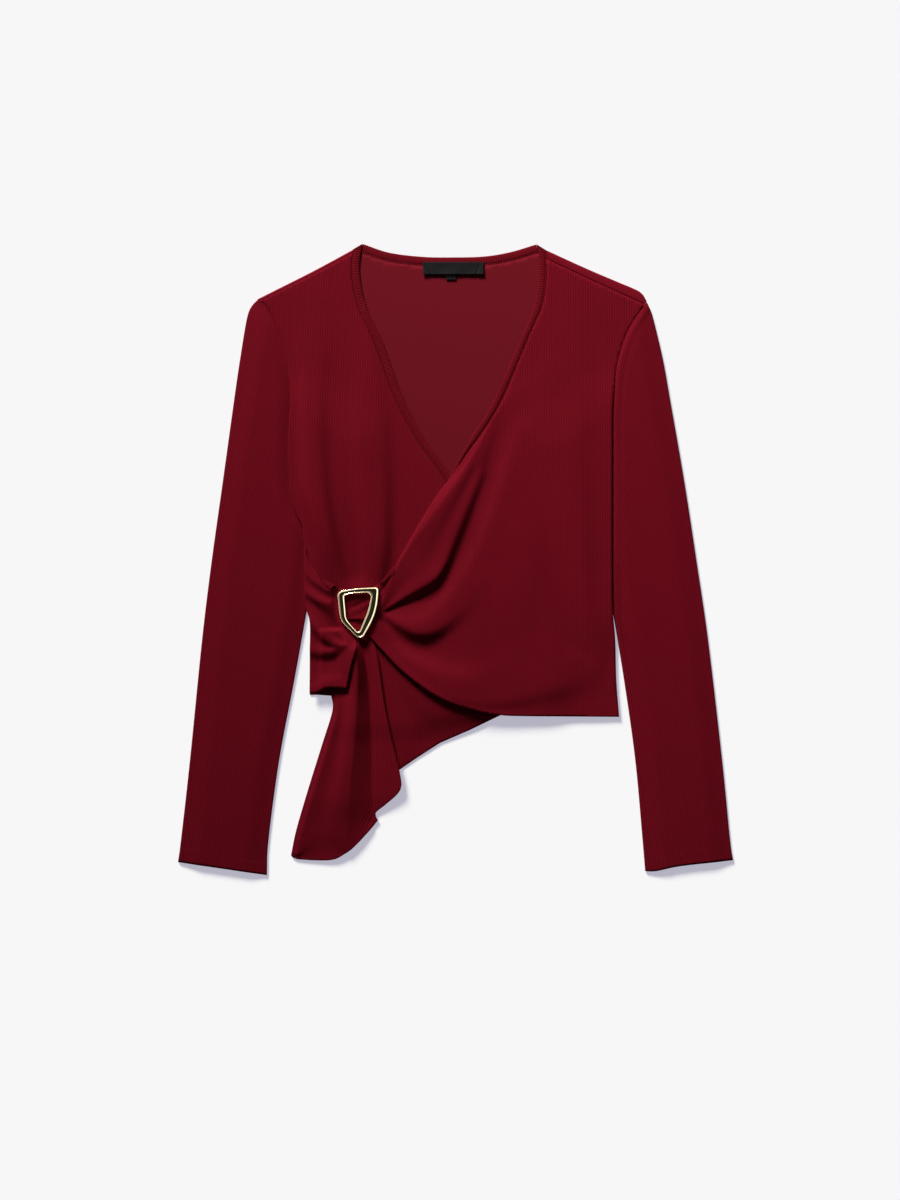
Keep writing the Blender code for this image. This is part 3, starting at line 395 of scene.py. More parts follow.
tailDrape = {
    "left edge": [(-128.2, -138, 0.3), (-126.2, -154.5, 0.6), (-137.5, -190.6, 0.9), (-151.9, -236.9, 0.9),
        (-164.3, -278.1, 0.8), (-169.4, -303.9, 0.6)],
    "left rise": [(-121, -141.1, 2), (-121, -156.6, 3.6), (-130.3, -192.6, 5), (-144.7, -239, 4.4),
        (-157.1, -280.2, 3.4), (-162.2, -301.8, 2.4)],
    "under flap": [(-126.2, -97.9, 0.2), (-121, -118.5, 0.3), (-117.9, -131.8, 0.8)],
    "left crest": tailCreases["left flute"],
    "hem": [(-113.8, -300.8, 3), (-139.6, -306.9, 1.2), (-164.3, -305.9, 0.6)],
}

# creases in the cloth that runs through the ring: x, y, depth
openingCreases = {
    "upper": [(-111.8, -50.5, 0.4), (-102.5, -47.4, 1.3), (-94.2, -42.7, 1.3), (-86.0, -36.6, 0.5)],
    "lower": [(-106.6, -58.2, 0.2), (-97.3, -55.6, 0.8), (-90.1, -50.5, 0.8), (-83.9, -43.3, 0.3)],
}

# where a layer comes down because the one below it has ended: start, end
steps = {
    "backHem": (-165, -190),  # y
    "underHem": (-240, -275),  # y
    "underEdge": (30, 70),  # beyond the under-front's free edge
    "sleeve": (3, 58),  # from a sleeve's tucked part
    "sleeveTop": (262, 156),  # y
    "tailSide": (-148, -136),  # x
    "tailTop": (-66, -73.5),  # y
    "tailEnd": (-92, -85),  # x
    "crownEdge": (0, 24),  # from a sleeve's long edges
    "crownBody": (0, 14),  # from the body that lies on it
    "seamRise": (0.2, 1.8),  # from the body, where the sleeve swells beside it
    "seamFall": (2, 10),  # and where that ends
    "bandRoll": (88, 128),  # y
    "bandRing": (-63, -54),  # x
}
creaseWidth = 1.7
ringClear, ringSlope = 3.5, 1.1  # cloth stays below the ring's seat near it and rises away from it
ringCorners = {
    "outer": [(-121.6, -32.4, 5.2), (-100.1, -28.8, 110), (-78.6, -27.9, 2.2), (-79.7, -54.2, 75),
              (-97.1, -83.2, 5.4), (-118.3, -62, 18)],
    "inner": [(-113.9, -36.9, 2), (-108.2, -34.5, 15), (-85.9, -33.4, 4.6), (-89.8, -51.9, 60),
              (-99.4, -75.5, 2.5), (-111.8, -61, 12)],
}
ringOuter = roundedOutline(ringCorners["outer"], 10, 4)
ringInner = roundedOutline(ringCorners["inner"], 10, 4)


def tuckedStretch(side):
    # outline of the part of a sleeve that lies under the body
    beyond = math.copysign(30, line[side + "Armhole"][-1][0])  # taken past the body's side
    armholeEnd, inner = edges[side + "Armhole"][-1], edges[side + "Inner"]
    across = [(armholeEnd[0] + beyond, inner[3][1]), (armholeEnd[0] + beyond, armholeEnd[1])]
    return np.array([armholeEnd, *edges[side + "Tuck"], *inner[1:4], *across], float)


def backBottom(x, y):
    # on the surface, but rising onto the tucked part of each sleeve
    lift = np.zeros(x.shape)
    for side in ("left", "right"):
        lift = np.maximum(lift, 1 - ramp(*steps["sleeve"], away(tuckedStretch(side), x, y)))
    return (sleeveHeight + gap) * lift * ramp(*steps["sleeveTop"], y)


def slackWaves(x, y):
    # long shallow waves, up and down the panels
    waves = np.sin(x / 23.7 + 1.3 * np.sin(y / 71)) * np.sin(y / 57.3 + 0.9)
    waves = waves + 0.7 * np.sin((x + 0.35 * y) / 14.9 + 1.1) * np.sin(y / 38.1 + x / 90)
    return topSizes["slack"] * (waves + 1.7)


def underBottom(x, y):
    base = backBottom(x, y) + layer * (1 - ramp(*steps["backHem"], y))
    slack = slackWaves(x, y) * topSizes["underSlack"]
    return base + slack + drape(underDrape, restHeight["under"], x, y)


def belowRing(x, y, height, thickness):
    seat = topSizes["ringSeat"] - gap - thickness
    return np.minimum(height, seat + ringSlope * np.maximum(away(ringOuter, x, y) - ringClear, 0))


def tailBottom(x, y):
    step = layer * (1 - ramp(*steps["underHem"], y))
    height = fluted(tailCreases, drape(tailDrape, restHeight["tail"], x, y), x, y)
    return belowRing(x, y, underBottom(x, y) + step + height, cloth + layer)


def overHeight(x, y, raised=1.0):
    # above the under-front, down on the back beyond it, and above the tail beside the ring
    edgeDistance, edgeSide, _ = nearest(line["underNeck"], x, y)
    beyond = np.where(edgeSide > 0, edgeDistance, 0)
    overUnder = 1 - ramp(*steps["underEdge"], beyond)
    flat = backBottom(x, y) + layer + slackWaves(x, y)
    lower = underBottom(x, y) + layer + topSizes["bandExtra"]
    base = flat + (lower - flat) * overUnder
    onTail = ramp(*steps["tailSide"], x) * ramp(*steps["tailTop"], y) * (1 - ramp(*steps["tailEnd"], x))
    base = np.maximum(base, (tailBottom(x, y) + layer) * onTail)
    height = belowRing(x, y, base + drape(overDrape, restHeight["over"], x, y) * raised, cloth)
    for rows in openingCreases.values():
        distance, _, depth = heightAlong(np.array(rows), x, y)
        height = height - depth * np.exp(-(distance / creaseWidth)**2)
    return height


def overBandBottom(x, y):
    # raised with the front's edge above the V's foot and beside the ring, but flat under its roll
    raised = np.maximum(ramp(*steps["bandRoll"], y), 1 - ramp(*steps["bandRing"], x))
    return overHeight(x, y, raised)


print("heights ready")


# helpers: meshes

def addThing(name, data):
    thing = bpy.data.objects.new(name, data)
    bpy.context.scene.collection.objects.link(thing)
    return thing


def finishPiece(name, bm, finish, nodes):
    # a smooth-shaded object that rides with the top and stands for its nodes
    mesh = bpy.data.meshes.new(name)
    bmesh.ops.recalc_face_normals(bm, faces=bm.faces[:])
    bm.to_mesh(mesh)
    bm.free()
    mesh.shade_smooth()
    mesh.materials.append(finish)
    piece = addThing(name, mesh)
    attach(piece, "root")
    if nodes:
        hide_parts(*nodes)
    return piece


def netLines(zones, low, high):
    # lines of a net whose spacing changes from zone to zone, each zone being from, to, spacing
    lines = [zones[0][0]]
    for start, end, spacing in zones:
        count = max(1, round((end - start) / spacing))
        lines += [start + (end - start) * (k + 1) / count for k in range(count)]
    first = max(bisect.bisect_right(lines, low) - 1, 0)
    last = min(bisect.bisect_left(lines, high), len(lines) - 1)
    return lines[first : last + 1]


netSizes = {"sharp": 32, "merge": 0.45, "smoothings": 3, "rim": 0.3}  # sharp in degrees


def sharpCorners(outline):
    before = outline - np.roll(outline, 1, axis=0)
    after = np.roll(outline, -1, axis=0) - outline
    turn = np.degrees(np.arctan2(after[:, 1], after[:, 0]) - np.arctan2(before[:, 1], before[:, 0]))
    return outline[np.abs((turn + 180) % 360 - 180) > netSizes["sharp"]]


def inOrder(verts):
    # sets of vertices have no order of their own, and merging depends on it
    return sorted(verts, key=lambda vert: vert.index)


def rimOf(bm):
    bm.verts.index_update()
    return inOrder({v for e in bm.edges if e.is_boundary for v in e.verts})


def clothPanel(outline, bottom, columns, rows, roll=None):
    # a net trimmed to the outline, drawn onto it along the edge, thickened, lifted into place and rolled
    low, high = outline.min(axis=0), outline.max(axis=0)
    columns = netLines(columns, low[0] - 1, high[0] + 1)
    rows = netLines(rows, low[1] - 1, high[1] + 1)
    bm = bmesh.new()
    inward = bm.verts.layers.float_vector.new("inward")
    level = bm.verts.layers.float.new("level")
    flat = bm.verts.layers.float_vector.new("flat")
    bmesh.ops.create_grid(bm, x_segments=len(columns) - 1, y_segments=len(rows) - 1, size=0.5)
    place = np.array([v.co[:2] for v in bm.verts]) + 0.5
    x = np.interp(place[:, 0] * (len(columns) - 1), range(len(columns)), columns)
    y = np.interp(place[:, 1] * (len(rows) - 1), range(len(rows)), rows)
    for vert, vx, vy in zip(bm.verts, x, y):
        vert.co = (vx, vy, 0)
    centres = np.array([f.calc_center_median()[:2] for f in bm.faces])
    kept = inside(outline, centres[:, 0], centres[:, 1])
    outside = [face for face, keep in zip(bm.faces, kept) if not keep]
    bmesh.ops.delete(bm, geom=outside, context="FACES")
    edgeVerts = rimOf(bm)
    edge = np.array([v.co[:2] for v in edgeVerts])
    onEdge = np.stack(nearestPoint(closedLine(outline), edge[:, 0], edge[:, 1]), axis=1)
    for corner in sharpCorners(outline):
        onEdge[np.argmin(np.hypot(*(edge - corner).T))] = corner
    for vert, (vx, vy) in zip(edgeVerts, onEdge):
        vert.co = (vx, vy, 0)
    bmesh.ops.remove_doubles(bm, verts=edgeVerts, dist=netSizes["merge"])
    edgeVerts = rimOf(bm)
    onRim = set(edgeVerts)
    nearRim = {e.other_vert(v) for v in edgeVerts for e in v.link_edges} - onRim
    nearRim |= {e.other_vert(v) for v in nearRim for e in v.link_edges} - onRim
    for _ in range(netSizes["smoothings"]):
        bmesh.ops.smooth_vert(bm, verts=inOrder(nearRim), factor=0.5, use_axis_x=True, use_axis_y=True)
    edge = np.array([v.co[:2] for v in edgeVerts])
    for vert, towards in zip(edgeVerts, inwardAt(outline, edge[:, 0], edge[:, 1])):
        vert[inward] = (*towards, 0)
    grown = bmesh.ops.extrude_face_region(bm, geom=bm.faces[:])
    for item in grown["geom"]:
        if isinstance(item, bmesh.types.BMVert):
            item[level] = 1
    upright = [e for e in bm.edges if e.verts[0][level] != e.verts[1][level]]
    halves = bmesh.ops.subdivide_edges(bm, edges=upright, cuts=1)
    for item in halves["geom_inner"]:
        if isinstance(item, bmesh.types.BMVert):
            item[level] = 0.5
    for vert in bm.verts:
        if vert[level] != 0.5:  # the rim is rounded: its upper and lower edges stand back a little
            vert.co += vert[inward] * netSizes["rim"]
        vert[flat] = vert.co
    x, y = np.array([v.co[:2] for v in bm.verts]).T
    above = cloth * np.array([v[level] for v in bm.verts])
    z = bottom(x, y) + above
    if roll:
        x, y, z = rolledUnder(*roll, bottom, x, y, z, above)
    for vert, spot in zip(bm.verts, zip(x, y, z)):
        vert.co = Vector(spot) * mm
    return bm


def rolledUnder(fold, radii, bottom, x, y, z, above):
    # cloth to the right of the fold line turns down and under along it, with the radius of each row
    distance, side, place = nearest(fold, x, y)
    rows = np.arange(len(fold))
    footX, footY, radius = (np.interp(place, rows, v) for v in (*fold.T, radii))
    turned = (side < 0) & (place > 0) & (place < len(fold) - 1) & (distance > 1e-3)
    outX, outY = (x - footX) / np.maximum(distance, 1e-3), (y - footY) / np.maximum(distance, 1e-3)
    angle = np.minimum(distance / radius, np.pi)
    out = (radius + above) * np.sin(angle) - np.maximum(distance - np.pi * radius, 0)
    level = bottom(footX, footY) - radius + (radius + above) * np.cos(angle)
    return (np.where(turned, footX + outX * out, x), np.where(turned, footY + outY * out, y),
            np.where(turned, level, z))


def mapRibs(piece, across):
    # UV map in metres of cloth: u across the ribs, from x and y in millimetres, and v along the panel
    mesh = piece.data
    count = len(mesh.vertices)
    place = np.empty(count * 3)
    mesh.attributes["flat"].data.foreach_get("vector", place)
    x, y = place.reshape(-1, 3)[:, :2].T
    loops = np.empty(len(mesh.loops), int)
    mesh.loops.foreach_get("vertex_index", loops)
    uv = np.stack([across(x, y), y], axis=1)[loops] * mm
    mesh.uv_layers.new(name="cloth").data.foreach_set("uv", uv.ravel())


def rolledGrid(points, uv, capped):
    # a grid moved onto rows of points in millimetres, each row a loop whose ends meet; the seam is merged
    stations, around = points.shape[:2]
    bm = bmesh.new()
    bmesh.ops.create_grid(bm, x_segments=stations - 1, y_segments=around - 1, size=0.5)
    layerUv = bm.loops.layers.uv.new("cloth")
    spot = {}
    for vert in bm.verts:
        spot[vert] = (round((vert.co.x + 0.5) * (stations - 1)), round((vert.co.y + 0.5) * (around - 1)))
    for face in bm.faces:
        for loop in face.loops:
            loop[layerUv].uv = uv[spot[loop.vert]] * mm
    for vert, where in spot.items():
        vert.co = points[where] * mm
    bmesh.ops.remove_doubles(bm, verts=bm.verts[:], dist=1e-6)
    if capped:
        bmesh.ops.holes_fill(bm, edges=[e for e in bm.edges if e.is_boundary], sides=0)
    return bm


def stitches(bm, places, directions, length, radius):
    # one small bead of thread for each place, in millimetres, lying along its direction
    for place, direction in zip(places, directions):
        turned = Vector(direction).to_track_quat("X", "Z").to_matrix().to_4x4()
        size = Matrix.Diagonal((length / 2 * mm, radius * mm, radius * mm, 1))
        where = Matrix.Translation(Vector(place) * mm) @ turned @ size
        bmesh.ops.create_icosphere(bm, subdivisions=1, radius=1, matrix=where)


# materials

def linear(hexColour):
    # sRGB hex to linear RGBA
    values = [int(hexColour[k : k + 2], 16) / 255 for k in (1, 3, 5)]
    return [v / 12.92 if v <= 0.04045 else ((v + 0.055) / 1.055) ** 2.4 for v in values] + [1.0]


def setNode(node, settings):
    # settings are properties or inputs; an input takes a value, an output, or a node for its first output
    for key, value in settings.items():
        if isinstance(value, bpy.types.Node):
            value = value.outputs[0]
        if isinstance(value, bpy.types.NodeSocket):
            node.id_data.links.new(value, node.inputs[key])
        elif isinstance(key, str) and hasattr(node, key):
            setattr(node, key, value)
        else:
            node.inputs[key].default_value = value
    return node


def addNode(tree, kind, settings=None):
    return setNode(tree.nodes.new("ShaderNode" + kind), settings or {})


def maths(tree, operation, *values):
    return addNode(tree, "Math", {"operation": operation, **dict(enumerate(values))})


def blend(tree, share, first, second):
    # colour between two hex colours
    ends = {"data_type": "RGBA", 6: linear(first), 7: linear(second), 0: share}
    return addNode(tree, "Mix", ends).outputs[2]


def repeats(*sizes):
    # pattern scales for repeats of these millimetres
    return tuple(1 / (size * mm) for size in sizes)


def threads(tree, vector, detail, *sizes):
    # streaky noise, its streaks as long and wide as the sizes
    stretched = addNode(tree, "Mapping", {"Vector": vector, "Scale": repeats(*sizes)})
    return addNode(tree, "TexNoise", {"Vector": stretched, "Scale": 1.0, "Detail": detail})


def newMaterial(name):
    made = bpy.data.materials.new(name)
    made.use_nodes = True
    return made, made.node_tree, made.node_tree.nodes["Principled BSDF"]


knitSizes = {
    "drift": 16.7,  # length over which the ribs wander
    "wander": 0.9,  # how far they do
    "loops": (0.714, 1.43, 1000.0),
    "patches": 45.5,  # uneven tone
}


def ribKnit(name, valley, crest, depth):
    # circular-knit viscose rib: matt, its fine lengthwise ribs in bump relief, with painted shade in the
    # colour between them and a painted highlight on their tops
    made, tree, shader = newMaterial(name)
    uv = addNode(tree, "UVMap", {"uv_map": "cloth"})
    across = addNode(tree, "SeparateXYZ", {0: uv})
    drift = addNode(tree, "TexNoise", {"Vector": uv, "Scale": repeats(knitSizes["drift"])[0], "Detail": 1.0})
    wander = maths(tree, "MULTIPLY_ADD", drift, knitSizes["wander"] * mm, across)
    wave = maths(tree, "SINE", maths(tree, "MULTIPLY", wander, 2 * math.pi / (topSizes["ribPitch"] * mm)))
    rib = maths(tree, "MULTIPLY_ADD", wave, 0.5, 0.5)
    loops = threads(tree, uv, 2.0, *knitSizes["loops"])
    patches = addNode(tree, "TexNoise", {"Vector": uv, "Scale": repeats(knitSizes["patches"])[0],
                                         "Detail": 5.0, "Roughness": 0.62})
    # the colour follows the ribs, with painted shade in their valleys and a painted highlight on their tops;
    # the loops and uneven patches add the yarn's own tone
    ribShadeAndTone = maths(tree, "ADD", maths(tree, "MULTIPLY_ADD", loops, 0.5, rib),
                 maths(tree, "MULTIPLY_ADD", patches, 0.5, -0.5))
    relief = maths(tree, "MULTIPLY_ADD", loops, 0.35, rib)
    bump = addNode(tree, "Bump", {"Strength": 1.0, "Distance": depth * mm, "Height": relief})
    setNode(shader, {"Base Color": blend(tree, ribShadeAndTone, valley, crest), "Normal": bump, "Roughness": 0.85,
                     "Specular IOR Level": 0.02, "Sheen Weight": 0.03, "Sheen Roughness": 0.55,
                     "Sheen Tint": linear("#C04050")})
    return made


# each knit: its colour of painted shade between the ribs, its colour of painted highlight on their tops, and
# the ribs' bump depth in mm
jersey = ribKnit("viscose rib jersey, right side", "#5B0814", "#6C0D1B", 0.1)
jerseyInside = ribKnit("viscose rib jersey, wrong side", "#5C0F18", "#64121C", 0.06)
ribBinding = ribKnit("folded rib binding", "#52080F", "#6A0E1A", 0.05)


def sewingThread():
    # spun polyester thread: a little lighter and smoother than the knit it is sewn through
    made, tree, shader = newMaterial("polyester sewing thread")
    place = addNode(tree, "TexCoord").outputs["Object"]
    twist = addNode(tree, "TexNoise", {"Vector": place, "Scale": repeats(0.556)[0]})
    setNode(shader, {"Base Color": blend(tree, twist, "#741522", "#8C2230"), "Roughness": 0.75,
                     "Specular IOR Level": 0.1})
    return made


def satinLabel():
    # woven polyester satin: close black threads with a faint sheen across them
    made, tree, shader = newMaterial("woven black satin")
    weave = threads(tree, addNode(tree, "TexCoord").outputs["Object"], 2.0, 1.11, 0.385, 1000.0)
    bump = addNode(tree, "Bump", {"Strength": 0.5, "Distance": 0.05 * mm, "Height": weave})
    setNode(shader, {"Base Color": blend(tree, weave, "#0C0B0C", "#1A191A"), "Normal": bump,
                     "Roughness": 0.6, "Specular IOR Level": 0.05})
    return made


def paleGoldPlate():
    # zinc casting with polished pale gold plating: mirror bright, with faint polishing lines
    made, tree, shader = newMaterial("polished pale gold plating")
    polish = threads(tree, addNode(tree, "TexCoord").outputs["Object"], 3.0, 3.33, 0.333, 3.33)
    rough = addNode(tree, "MapRange", {0: polish, 3: 0.08, 4: 0.2})
    setNode(shader, {"Base Color": blend(tree, polish, "#E6D2A4", "#F2E2BE"), "Roughness": rough,
                     "Metallic": 1.0})
    return made


thread, labelSatin, goldPlate = sewingThread(), satinLabel(), paleGoldPlate()
print("materials ready")


# nets: from, to, spacing
fineAcross = [(-212, -172, 3.2), (-172, 40, 1.7), (40, 200, 3.2)]
fineAlong = [(-312, -160, 2.4), (-160, 60, 1.7), (60, 140, 2.2), (140, 330, 3.2)]
plainAcross = [(-212, 200, 4.0)]
plainAlong = [(-312, 330, 4.0)]

backSizes = {
    "stripLeft": 2.6,  # cloth that comes over the left shoulder; over the right one it reaches the seam line
    "tuck": 1.5,  # from the shoulder's fold to the panel's edge
    "underBand": 0.3,
    "foldStep": 1.2,
    "foldRise": [(0.02, 0.5), (0.3, 0.78), (0.9, 0.95), (2.0, 1.0)],  # from the fold, share of the height
    "foldTop": (0.35, 0.55, 0.75, 0.9),  # shares of the strip's width
    "foldSwell": 0.12,
    "flat": (0.40, 0.475),
    "area": 0.150,
}


def makeBack():
    left, right = line["leftShoulder"], line["rightShoulder"]
    neck = beside(line["backNeck"], topSizes["backBandWidth"] - backSizes["underBand"])
    tuck = backSizes["tuck"]
    outline = chain(neck, beside(right, tuck)[1:-1], line["rightArmhole"], line["rightSide"], line["backHem"],
                    line["leftSide"][::-1], line["leftArmhole"][::-1], beside(left, -tuck)[1:-1][::-1])
    bm = clothPanel(outline, backBottom, plainAcross, plainAlong)
    addShoulderFold(bm, left, beside(left, -backSizes["stripLeft"]))
    addShoulderFold(bm, right, beside(line["rightShoulderSeam"], -seamGap))
    piece = finishPiece("back_panel", bm, jerseyInside, ["back"])
    piece.data.materials.append(jersey)  # the strips over the shoulders show the cloth's right side
    mapRibs(piece, lambda x, y: x)


def addShoulderFold(bm, shoulder, seam):
    # the back's cloth rolls over the shoulder and is sewn to the front a little way down it
    fold = evenly(shoulder, backSizes["foldStep"])
    end = np.stack(nearestPoint(seam, fold[:, 0], fold[:, 1]), axis=1)
    width = np.hypot(*(end - fold).T)
    across = (end - fold) / width[:, None]
    height = layer + cloth
    # rows of the strip's section: distance from the fold and height, over the top and back underneath
    rowsAcross = [(np.minimum(reach, width * 0.6), share * height) for reach, share in backSizes["foldRise"]]
    for share in backSizes["foldTop"]:
        swell = backSizes["foldSwell"] * math.sin(math.pi * share)
        rowsAcross.append((np.maximum(width * share, 2.1), height + swell))
    rowsAcross += [(width - 0.1, height - 0.3), (width, height - cloth / 2), (width - 0.15, layer + 0.02)]
    underneath = [(1.7, layer + 0.02), (1.25, cloth * 0.6), (1.2, 0.05), (0.5, 0.2)]
    rowsAcross += [(np.full(len(width), reach), z) for reach, z in underneath]
    rowsAcross.append(rowsAcross[0])
    points = np.empty((len(fold), len(rowsAcross), 3))
    for k, (reach, z) in enumerate(rowsAcross):
        spot = fold + across * np.minimum(reach, width)[:, None]
        points[:, k, :2] = spot
        points[:, k, 2] = backBottom(spot[:, 0], spot[:, 1]) + z
    strip = rolledGrid(points, np.zeros((*points.shape[:2], 2)), True)
    for face in strip.faces:
        face.material_index = 1
    part = bpy.data.meshes.new("strip")
    strip.to_mesh(part)
    strip.free()
    count = len(bm.verts)
    bm.from_mesh(part)
    bpy.data.meshes.remove(part)
    flat = bm.verts.layers.float_vector["flat"]
    for vert in list(bm.verts)[count:]:
        vert[flat] = vert.co / mm


makeBack()
print("back panel")


# section of a band: share of its width from the free edge, share of its height, share of the rib's depth
bandSection = [
    (0.10, 0.0, 0), (0.5, 0.0, 0), (0.96, 0.0, 0), (1.0, 0.4, 0), (0.985, 0.72, 0), (0.945, 0.84, 0.2),
    (0.905, 0.7, 0.1), (0.875, 0.6, 0.1), (0.835, 0.82, 0.6), (0.72, 0.98, 1), (0.5, 1.03, 1), (0.3, 1.0, 1),
    (0.13, 0.9, 1), (0.03, 0.68, 0.9), (0.0, 0.4, 0.6), (0.03, 0.14, 0.2), (0.10, 0.0, 0),
]
bandSizes = {
    "station": 0.5,
    "ribDepth": 0.13,
    "scallop": 0.16,
    "endHeight": 0.5,
    "sideFade": 18.0,
    "leastWidth": 1.2,
    "flat": {"back": (0.20, 0.0115), "under": (0.52, 0.0105), "over": (0.47, 0.0105)},
}


def ribbedBand(part, free, seam, bottom, fade=0.1):
    # rib binding, its cross ribs in real relief, with a groove by the seam; thinner over its last fade mm
    free = evenly(free, bandSizes["station"])
    end = np.stack(nearestPoint(seam, free[:, 0], free[:, 1]), axis=1)
    run = runLength(free)
    full = ramp(0, fade, run[-1] - run)
    wave = np.cos(2 * np.pi * run / topSizes["ribPitch"]) * full
    least = bandSizes["endHeight"]
    height = (cloth + topSizes["bandExtra"]) * (least + (1 - least) * full)
    points = np.empty((len(free), len(bandSection), 3))
    uv = np.empty((len(free), len(bandSection), 2))
    width = np.maximum(np.hypot(*(end - free).T), bandSizes["leastWidth"])
    outward = (free - end) / np.maximum(np.hypot(*(end - free).T), 1e-3)[:, None]
    for k, (share, rise, rib) in enumerate(bandSection):
        spot = free + (end - free) * share
        if share < 0.05:
            spot = spot + outward * (bandSizes["scallop"] * wave * rib)[:, None]
        points[:, k, :2] = spot
        points[:, k, 2] = bottom(*spot.T) + height * rise + bandSizes["ribDepth"] * rib * wave
        uv[:, k, 0] = run
        uv[:, k, 1] = width * share
    bm = rolledGrid(points, uv, True)
    name = "back_neck_binding" if part == "back" else part + "_front_binding"
    piece = finishPiece(name, bm, ribBinding, ["neck_band_" + part])


neckStitches = {"fromSeam": 1.1, "pitch": 2.7, "length": 2.2, "radius": 0.3, "height": 1.3, "lean": 0.7}


def makeNeckStitches():
    # flatlock stitching along the binding's foot, seen as slanted bars
    seam = beside(line["backNeck"], topSizes["backBandWidth"] - neckStitches["fromSeam"])
    seam = evenly(seam, neckStitches["pitch"])[1:-1]
    along = np.gradient(seam, axis=0)
    along /= np.hypot(*along.T)[:, None]
    slanted = along + normals(seam) * neckStitches["lean"]
    height = np.full((len(seam), 1), neckStitches["height"])
    bm = bmesh.new()
    stitches(bm, np.hstack([seam, height]), np.hstack([slanted, height * 0]), neckStitches["length"],
             neckStitches["radius"])
    finishPiece("back_neck_stitching", bm, thread, [])


ribbedBand("back", line["backNeck"], beside(line["backNeck"], topSizes["backBandWidth"]), backBottom)
makeNeckStitches()
print("back neck binding")

underSizes = {"shoulderSeam": 2.6, "corner": 5.0, "ribLean": 0.03, "flat": (0.26, 0.54), "area": 0.078}


def makeUnderFront():
    free = line["underNeck"]
    seam = beside(free, topSizes["bandWidth"])
    seam[0] = edges["leftShoulder"][0]
    shoulder = beside(line["leftShoulder"], -underSizes["shoulderSeam"] - seamGap)
    side = line["leftSide"]
    hem = edges["underHiddenHem"][-1][1]
    outline = chain(shoulder[1:][::-1], seam[3:], line["underHem"], line["underHiddenHem"],
                    side[side[:, 1] > hem][::-1], line["leftArmhole"][1:][::-1])
    bm = clothPanel(outline, underBottom, fineAcross, fineAlong)
    piece = finishPiece("under_front_panel", bm, jersey, ["under_front"])
    mapRibs(piece, lambda x, y: x - underSizes["ribLean"] * y)
    sewn = beside(free, topSizes["bandWidth"] - seamGap)
    sewn = np.concatenate([seam[:1], sewn[sewn[:, 1] < seam[0][1] - underSizes["corner"]]])
    ribbedBand("under", free, sewn, underBottom)


makeUnderFront()
print("under-front")


overSizes = {
    "rollRadius": 2.8,
    "rollEnd": 0.4,
    "rollTuck": 3.0,
    "rollStep": 2.0,
    "rollFull": (0.3, 0.75),  # shares of the roll's length between which it is full
    "ribsTop": 113,  # y below which the ribs slant
    "ribsSoft": 22,
    "ribLean": 0.3,
    "ribLeanEnd": (-10, 130),  # x
    "sideLean": 0.28,
    "sideEnd": (-97, -85),  # x
    "flat": (0.42, 0.47),
    "area": 0.098,
}


def overFrontEdge():
    # the panel's edge, with the turned-under cloth where it is rolled, and the roll's fold line and radii
    upper = smoothLine(edges["overSeam"][: hiddenFrom + 1])
    lower = smoothLine(edges["overSeam"][hiddenTo:])
    rolled = evenly(line["overRoll"], overSizes["rollStep"])
    share = np.linspace(0, 1, len(rolled))
    fullFrom, fullTo = overSizes["rollFull"]
    swell = ramp(0, fullFrom, share) * (1 - ramp(fullTo, 1, share))
    radii = overSizes["rollEnd"] + (overSizes["rollRadius"] - overSizes["rollEnd"]) * swell
    side = normals(rolled)
    fold = rolled - side * (radii + cloth)[:, None]
    turned = fold + side * (np.pi * radii + overSizes["rollTuck"] * swell)[:, None]
    return chain(beside(upper, -seamGap), turned, beside(lower, -seamGap), line["overSide"]), fold, radii


def overRibs(x, y):
    # ribs hang straight down the panel, slant across the rolls and follow the flap's fall
    soft = overSizes["ribsSoft"]
    fall = soft * np.log1p(np.exp(np.clip((overSizes["ribsTop"] - y) / soft, -30, 30)))
    lean = overSizes["ribLean"] * (1 - ramp(*overSizes["ribLeanEnd"], x))
    onSide = 1 - ramp(*overSizes["sideEnd"], x)
    return x - lean * fall * (1 - onSide) + overSizes["sideLean"] * onSide * y


def makeOverFront():
    edge, fold, radii = overFrontEdge()
    side = line["leftSide"]
    side = side[(side[:, 1] > edges["flapHem"][-1][1]) & (side[:, 1] < edges["overSide"][-1][1])]
    shoulder = line["rightShoulderSeam"]
    edge = edge[edge[:, 1] < shoulder[0][1] - 1]
    outline = chain(shoulder, line["rightArmhole"][1:], line["rightSide"], line["overHem"],
                    line["overRingEnd"], line["flapEdge"], line["flapHem"], side[::-1], edge[::-1])
    bm = clothPanel(outline, overHeight, fineAcross, fineAlong, roll=(fold, radii))
    piece = finishPiece("over_front_panel", bm, jersey, ["over_front"])
    mapRibs(piece, overRibs)
    ribbedBand("over", line["overNeck"], line["overSeam"], overBandBottom, bandSizes["sideFade"])


makeOverFront()
print("over-front")


tailSizes = {
    "net": (1.3, 1.5),
    "ribFan": 0.287,
    "fanFrom": 230,  # below the origin
    "fanEnd": (-125, -88),  # x, leaning with the flute
    "fanEndAt": 190,  # below the origin
    "fluteLean": 0.28,
    "flat": (0.12, 0.25),
    "area": 0.018,
}


def tailRibs(x, y):
    # ribs fan out left of the first flute
    fan = 1 - ramp(*tailSizes["fanEnd"], x + tailSizes["fluteLean"] * (y + tailSizes["fanEndAt"]))
    return x - tailSizes["ribFan"] * fan * (y + tailSizes["fanFrom"])


def makeTail():
    outline = chain(line["tailTop"], line["tailTuck"], line["tailLeft"], line["tailHem"], line["tailNotch"],
                    line["tailRight"])
    across, along = tailSizes["net"]
    bm = clothPanel(outline, tailBottom, [(-172, -50, across)], [(-312, -60, along)])
    piece = finishPiece("tail_panel", bm, jersey, ["tail"])
    mapRibs(piece, tailRibs)


makeTail()
print("tail")

